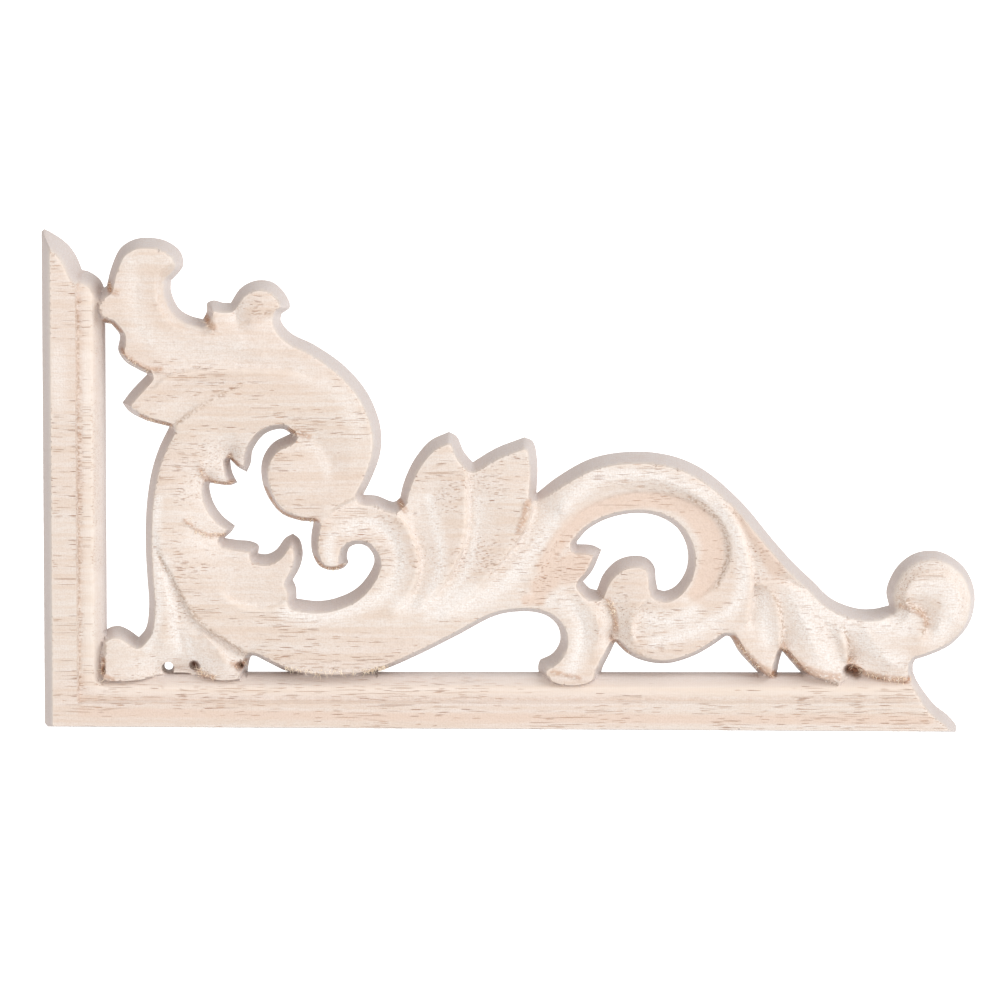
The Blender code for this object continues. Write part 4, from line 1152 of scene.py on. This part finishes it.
class OnlayFinish(PropertyGroup):
    """The wood's colours and pores."""

    face: colour("Face", "Planed face, light part", tone(219, 208, 199))
    face_rose: colour("Rose face", "Planed face, rosier part", tone(219, 203, 193))
    streak: colour("Streak", "Faint streaks along the grain", tone(207, 182, 161))
    warm: colour("Warm bands", "Deeper orange bands of the board", tone(215, 193, 178))
    # Whiter, rougher patches of the face; over the right-hand leaves this is painted light on their shaded
    # hollows.
    whitening: colour("Bleached", "Whitish slopes left rough by the cutter", tone(234, 228, 223))
    # A painted highlight along crisp edges and ridges.
    crest: colour("Crests", "Crisp edges and ridges", tone(230, 215, 201))
    mark: colour("Cutter marks", "Dots between the cutter's passes", tone(178, 152, 132))
    # The walls' tint: partly their own cut finish, partly a painted sheen, greyer and cooler than the face.
    wall: colour("Walls", "Side walls as the cutter leaves them", tone(211, 202, 199))
    # Painted shade: the walls that face left are drawn darker and browner, as if lit from the right.
    painted_left_shade: colour("Browned walls", "Walls that face left, browned by the cutter", tone(206, 193, 189))
    torn: colour("Torn walls", "Walls where the fibres broke out", tone(180, 130, 92))
    pore: colour("Pores", "Open pores", tone(190, 140, 104))
    dark_pore: colour("Dark pores", "The few darkest pores", tone(150, 96, 64))
    # Brown burn in the deepest cuts, with painted shade that deepens with depth and spots the groove.
    burn_and_shade: colour("Cutter burn", "Brown burn in the deepest cuts", tone(160, 106, 68))
    pore_length: length("Pore length", "Length of a common pore", 0.0024, 0.0005, 0.01)
    pore_width: length("Pore width", "Width of a common pore", 0.00017, 0.00005, 0.001)


class OnlayFibres(PropertyGroup):
    """Loose fibres along the torn edges."""

    count: IntProperty(name="Fibres", description="How many fibres stand up", default=420, min=0, max=1000)
    longest: length("Longest fibre", "Length of the longest fibre", 0.0013, 0.0002, 0.004)
    thickness: length("Thickness", "Thickness at a fibre's root", 0.00017, 0.00005, 0.001)
    tint: colour("Colour", "The fibres' colour", tone(250, 236, 216))


class OnlayStage(PropertyGroup):
    """The studio round the onlay."""

    distance: length("Camera distance", "How far away the camera stands", 1.6, 0.5, 10)
    elevation: FloatProperty(
        name="Camera elevation", description="How far above the onlay the camera stands",
        default=math.radians(5.5), subtype="ANGLE", unit="ROTATION",
    )
    lens: FloatProperty(name="Lens", description="Focal length", default=287.7, min=20, unit="CAMERA")
    surround: FloatProperty(name="Surround", description="The surround's strength", default=0.62, min=0)
    key: power("Key light", "Power of the soft key light", 21)
    fill: power("Front light", "Power of the soft front light", 10)


def deselect():
    for picked in list(bpy.context.selected_objects):
        picked.select_set(False)


def fine_relief(points, height, form, chance):
    """The groove along the moulding's step, torn grain and a slight unevenness, added to the heights."""
    foot_u, foot_v = (STEP_FOOT_U + GROOVE_U) / 2, (STEP_FOOT_V + GROOVE_V) / 2
    corner = face_to_mm([(foot_u, RAIL_TOP_V + 12), (foot_u, foot_v), (RAIL_END_U, foot_v)])
    gap = line_distance(points, corner)
    upright = np.where(points[:, 1] > corner[1, 1] + 1, 1.0, LEVEL_GROOVE)
    spots = np.clip(noise_at(points, 0.9), 0, 1)
    groove = np.exp(-(gap / GROOVE_REACH) ** 2) * upright * (GROOVE_LEAST + GROOVE_SPOTS * spots)
    height = height - form.groove_depth * MM * groove
    torn = zone(points, FRAYED, firmness=1.4)
    raised = chance.uniform(-1, 1, len(points))
    height += np.maximum(torn, zone(points, TORN_FOOT[:1])) * form.tear_height * MM * raised
    height += UNEVEN * noise_at(points, 4.0)
    return height, groove, torn


def noise_at(points, size):
    """Smooth noise from -1 to 1 over the points, with lumps of about the given size in millimetres."""
    return np.array([noise.noise(Vector((x / size, z / size, 0.5))) for x, z in points.tolist()])


class ONLAY_OT_carve(Operator):
    """Carve the onlay: both mouldings and the scrollwork over a flat back, as one board"""

    bl_idname = "onlay.carve"
    bl_label = "Carve the onlay"
    bl_options = {"REGISTER", "UNDO"}

    def execute(self, context):
        form = context.scene.onlay_form
        chance = np.random.default_rng(GRAIN_SEED)
        carving = Carving(form.outline_spacing * MM, form.edge_round * MM)
        points, front = front_mesh(
            carving, form.outline_spacing * MM, form.edge_spacing * MM, form.face_spacing * MM
        )
        height, marks = carving.height(points)
        height, groove, torn = fine_relief(points, height, form, chance)
        rim, back = back_faces(points, front, carving)
        height = np.clip(height, LEAST, HIGHEST)
        height[rim] = 0
        faces = np.concatenate([front, back])
        used = np.unique(faces)
        place = np.zeros(len(points), int)
        place[used] = np.arange(len(used))
        vertices = np.stack([points[:, 0], -height, points[:, 1]], 1)[used] / MM
        mesh = bpy.data.meshes.new("carved_onlay")
        mesh.from_pydata(vertices.tolist(), [], place[faces].tolist())
        mesh.update()
        onlay = bpy.data.objects.new("carved_onlay", mesh)
        context.collection.objects.link(onlay)
        deselect()
        onlay.select_set(True)
        context.view_layer.objects.active = onlay
        bpy.ops.object.shade_smooth_by_angle(angle=CREASE)

        # Walls that face left are marked for painted shade, by how far their normals point left.
        normals = np.zeros(len(mesh.vertices) * 3)
        mesh.vertices.foreach_get("normal", normals)
        to_left = np.clip(-normals.reshape(-1, 3)[:, 0], 0, 1)
        marks = {name: mark[used] for name, mark in marks.items()}
        marks = all_marks(points[used], marks, groove[used], torn[used], to_left)
        keep_marks(mesh, marks, place[rim])
        mesh.materials.append(pale_wood(context.scene.onlay_finish))
        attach(onlay, "root")
        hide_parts(BOARD)
        return {"FINISHED"}


def all_marks(points, marks, groove, torn, to_left):
    """The carving's own marks, with the zones drawn over the wood, the painted highlight along ridges,
    painted shade along the groove and painted shade on the walls that face left.
    """
    open_face = 1 - marks["wall"]
    warm = zone(points, WARM, firmness=1.7) * open_face
    faint = np.maximum(marks["whitening"], zone(points, FAINT)) * 0.5
    white = np.maximum(faint, zone(points, WHITENING)) * (1 - warm)
    spots = np.clip(noise_at(points + 40, 1.1) * 2, 0, 1)
    return {
        **marks,
        "warm": warm,
        "whitening": white * open_face,
        # Painted highlight along the face's edges and its steps' ridges.
        "crest": np.maximum(marks["crest"], crest_at(points)),
        # Painted shade on the walls that face left.
        "painted_left_shade": to_left * marks["wall"],
        # Painted shade in spots along the moulding's groove, over the burn and shade in the cuts.
        "burn_and_shade": np.clip(marks["burn_and_shade"] + 0.5 * groove * spots, 0, 1),
        "frayed": torn,
        # Dark dots along the step edges and groove, partly painted shade in these creases.
        "dots_and_crease_shade": zone(points, DOTTED),
    }


def keep_marks(mesh, marks, rim):
    """Keep the marks on the mesh's points."""
    for name, mark in marks.items():
        # The rim's points are the back's corners too, and the back is plain.
        if name not in ("wall", "painted_left_shade"):
            mark[rim] = 0
        layer = mesh.attributes.new(name, "FLOAT", "POINT")
        layer.data.foreach_set("value", mark.astype(np.float32))


class ONLAY_OT_tear_fibres(Operator):
    """Stand short loose fibres along the torn edges"""

    bl_idname = "onlay.tear_fibres"
    bl_label = "Tear the fibres"
    bl_options = {"REGISTER", "UNDO"}

    def execute(self, context):
        onlay = bpy.data.objects.get("carved_onlay")
        if onlay is None:
            raise RuntimeError("carve the onlay before its fibres")
        settings = context.scene.onlay_fibres
        fibre = bent_fibre(settings.thickness, settings.longest)
        chance = np.random.default_rng(FIBRE_SEED)
        surface = bvhtree.BVHTree.FromObject(onlay, context.evaluated_depsgraph_get())
        lines = torn_lines()
        weights = np.array([len(line) for line, *_ in lines], float)
        copies = []
        while len(copies) < settings.count:
            line, fall, stand = lines[chance.choice(len(lines), p=weights / weights.sum())]
            x, z = (line[chance.integers(len(line))] + chance.normal(0, FIBRE_STRAY, 2)) / MM
            root, normal, _, _ = surface.ray_cast(Vector((x, IN_FRONT, z)), Vector((0, 1, 0)))
            if root is None or root.y > -ROOT_LEAST:
                continue
            out = (normal * stand + Vector(chance.normal(0, FIBRE_LEAN, 3)) + fall).normalized()
            if root.y + out.y * settings.longest < CAD_BOX[0][1] + ROOT_DEPTH:
                continue
            size = chance.uniform(FIBRE_SHORTEST, 1.0)
            turn = out.to_track_quat("Z", "Y") @ Quaternion((0, 0, 1), chance.uniform(0, math.tau))
            copy = fibre.copy()
            copy.data = fibre.data.copy()
            copy.data.transform(Matrix.LocRotScale(root - out * ROOT_DEPTH, turn, Vector((1, 1, size))))
            if min(vertex.co.y for vertex in copy.data.vertices) < CAD_BOX[0][1]:
                bpy.data.meshes.remove(copy.data)
                continue
            context.collection.objects.link(copy)
            copies.append(copy)
        bpy.data.objects.remove(fibre)
        deselect()
        for copy in copies:
            copy.select_set(True)
        context.view_layer.objects.active = copies[0]
        bpy.ops.object.join()
        fibres = context.active_object
        fibres.name = fibres.data.name = "torn_fibres"
        bpy.ops.object.shade_smooth()
        fibres.data.materials.clear()
        fibres.data.materials.append(loose_fibre(settings))
        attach(fibres, "root")
        return {"FINISHED"}


def bent_fibre(thickness, longest):
    """One fibre that stands on the origin and bends towards +X."""
    deselect()
    bpy.ops.mesh.primitive_cone_add(
        vertices=5, radius1=thickness / 2, radius2=thickness / 12,
        depth=longest, location=(0, 0, longest / 2),
    )
    fibre = bpy.context.active_object
    bpy.ops.object.transform_apply(location=True)
    bpy.ops.object.mode_set(mode="EDIT")
    bpy.ops.mesh.select_all(action="SELECT")
    for share in (0.35, 0.7):
        bpy.ops.mesh.bisect(plane_co=(0, 0, longest * share), plane_no=(0, 0, 1))
        bpy.ops.mesh.select_all(action="SELECT")
    bpy.ops.object.mode_set(mode="OBJECT")
    for vertex in fibre.data.vertices:
        vertex.co.x += FIBRE_BEND * vertex.co.z ** 2 / longest
    return fibre


def torn_lines():
    """The lines that fibres stand along, which way they fall there and how far they follow the surface."""
    lines = [(line, Vector((0, -0.4, 0)), 1) for line, _ in FRAYED]
    lines += [(line, Vector((0, -0.35, -1.0)), 0.4) for line, _ in TORN_FOOT]
    return [(smooth(face_to_mm(line), 0.3), fall, stand) for line, fall, stand in lines]


def loose_fibre(settings):
    """A single wood fibre's pale, slightly glossy surface."""
    nodes = Nodes("loose_wood_fibre")
    place = nodes.add("TexCoord", output="Object")
    shade = nodes.ramp(nodes.noise(place, (900, 900, 900), 1.0), 0.3, 0.7)
    tint = nodes.mix(shade, settings.tint, tone(238, 216, 188))
    nodes.dress({"Base Color": tint, "Roughness": 0.55, "Specular IOR Level": 0.35})
    return nodes.material


def white_paper():
    """White paper, which turns to plain white light behind the onlay."""
    nodes = Nodes("white_paper")
    place = nodes.add("TexCoord", output="Object")
    nodes.dress({
        "Base Color": nodes.mix(nodes.noise(place, (3, 3, 3), 3.0), (0.86, 0.86, 0.86), (0.9, 0.9, 0.9)),
        "Roughness": 1.0,
        "Specular IOR Level": 0.0,
        "Emission Color": (1, 1, 1),
        "Emission Strength": nodes.ramp(nodes.add("SeparateXYZ", {0: place}, output=1), 0.1, 1.1),
    })
    return nodes.material


def softbox(name, power, aim, place, size, tint):
    """A square soft light turned towards the aim."""
    lamp = bpy.data.lights.new(name, "AREA")
    lamp.size = size
    lamp.energy = power
    lamp.color = tint
    light = bpy.data.objects.new(name, lamp)
    light.location = place
    light.rotation_euler = (aim - Vector(place)).to_track_quat("-Z", "Y").to_euler()
    bpy.context.collection.objects.link(light)


class ONLAY_OT_set_stage(Operator):
    """Set the white surround, a pale floor, two soft lights and the camera"""

    bl_idname = "onlay.set_stage"
    bl_label = "Set the stage"
    bl_options = {"REGISTER", "UNDO"}

    def execute(self, context):
        stage = context.scene.onlay_stage
        scene = context.scene
        scene.view_settings.view_transform = "Standard"
        aim = Vector(AIM)
        deselect()
        bpy.ops.mesh.primitive_plane_add(size=FLOOR_SIZE, location=(0, 0, FLOOR_HEIGHT))
        floor = context.active_object
        floor.name = "floor"
        bpy.ops.object.transform_apply(location=True)
        floor.data.materials.append(white_paper())

        world = scene.world or bpy.data.worlds.new("surround")
        scene.world = world
        world.use_nodes = True
        light = world.node_tree.nodes["Background"]
        light.inputs["Color"].default_value = (1.0, 1.0, 1.0, 1)
        light.inputs["Strength"].default_value = stage.surround

        softbox("key_light", stage.key, aim, *KEY_LIGHT)
        softbox("front_light", stage.fill, aim, *FRONT_LIGHT)

        lens = bpy.data.cameras.new("camera")
        lens.lens = stage.lens
        lens.sensor_width = 36
        lens.clip_end = 100
        camera = bpy.data.objects.new("camera", lens)
        back = Vector((0, -math.cos(stage.elevation), math.sin(stage.elevation)))
        camera.location = aim + stage.distance * back
        camera.rotation_euler = (-back).to_track_quat("-Z", "Y").to_euler()
        context.collection.objects.link(camera)
        scene.camera = camera
        return {"FINISHED"}


class ONLAY_PT_panel(Panel):
    bl_idname = "ONLAY_PT_panel"
    bl_label = "Carved corner onlay"
    bl_space_type = "VIEW_3D"
    bl_region_type = "UI"
    bl_category = "Onlay"

    def draw(self, context):
        for operator, settings in STEPS_TO_BUILD:
            box = self.layout.box()
            for group in settings:
                values = getattr(context.scene, group)
                for name in values.bl_rna.properties.keys():
                    if name not in ("rna_type", "name"):
                        box.prop(values, name)
            box.operator(operator)


STEPS_TO_BUILD = (
    ("onlay.carve", ("onlay_form", "onlay_finish")),
    ("onlay.tear_fibres", ("onlay_fibres",)),
    ("onlay.set_stage", ("onlay_stage",)),
)
GROUPS = {
    "onlay_form": OnlayForm,
    "onlay_finish": OnlayFinish,
    "onlay_fibres": OnlayFibres,
    "onlay_stage": OnlayStage,
}
CLASSES = (*GROUPS.values(), ONLAY_OT_carve, ONLAY_OT_tear_fibres, ONLAY_OT_set_stage, ONLAY_PT_panel)


def register():
    for made in CLASSES:
        bpy.utils.register_class(made)
    for name, group in GROUPS.items():
        setattr(bpy.types.Scene, name, PointerProperty(type=group))


def unregister():
    for name in GROUPS:
        delattr(bpy.types.Scene, name)
    for made in reversed(CLASSES):
        bpy.utils.unregister_class(made)


def main():
    register()
    bpy.ops.onlay.carve()
    bpy.ops.onlay.tear_fibres()
    bpy.ops.onlay.set_stage()


if __name__ == "__main__":
    main()
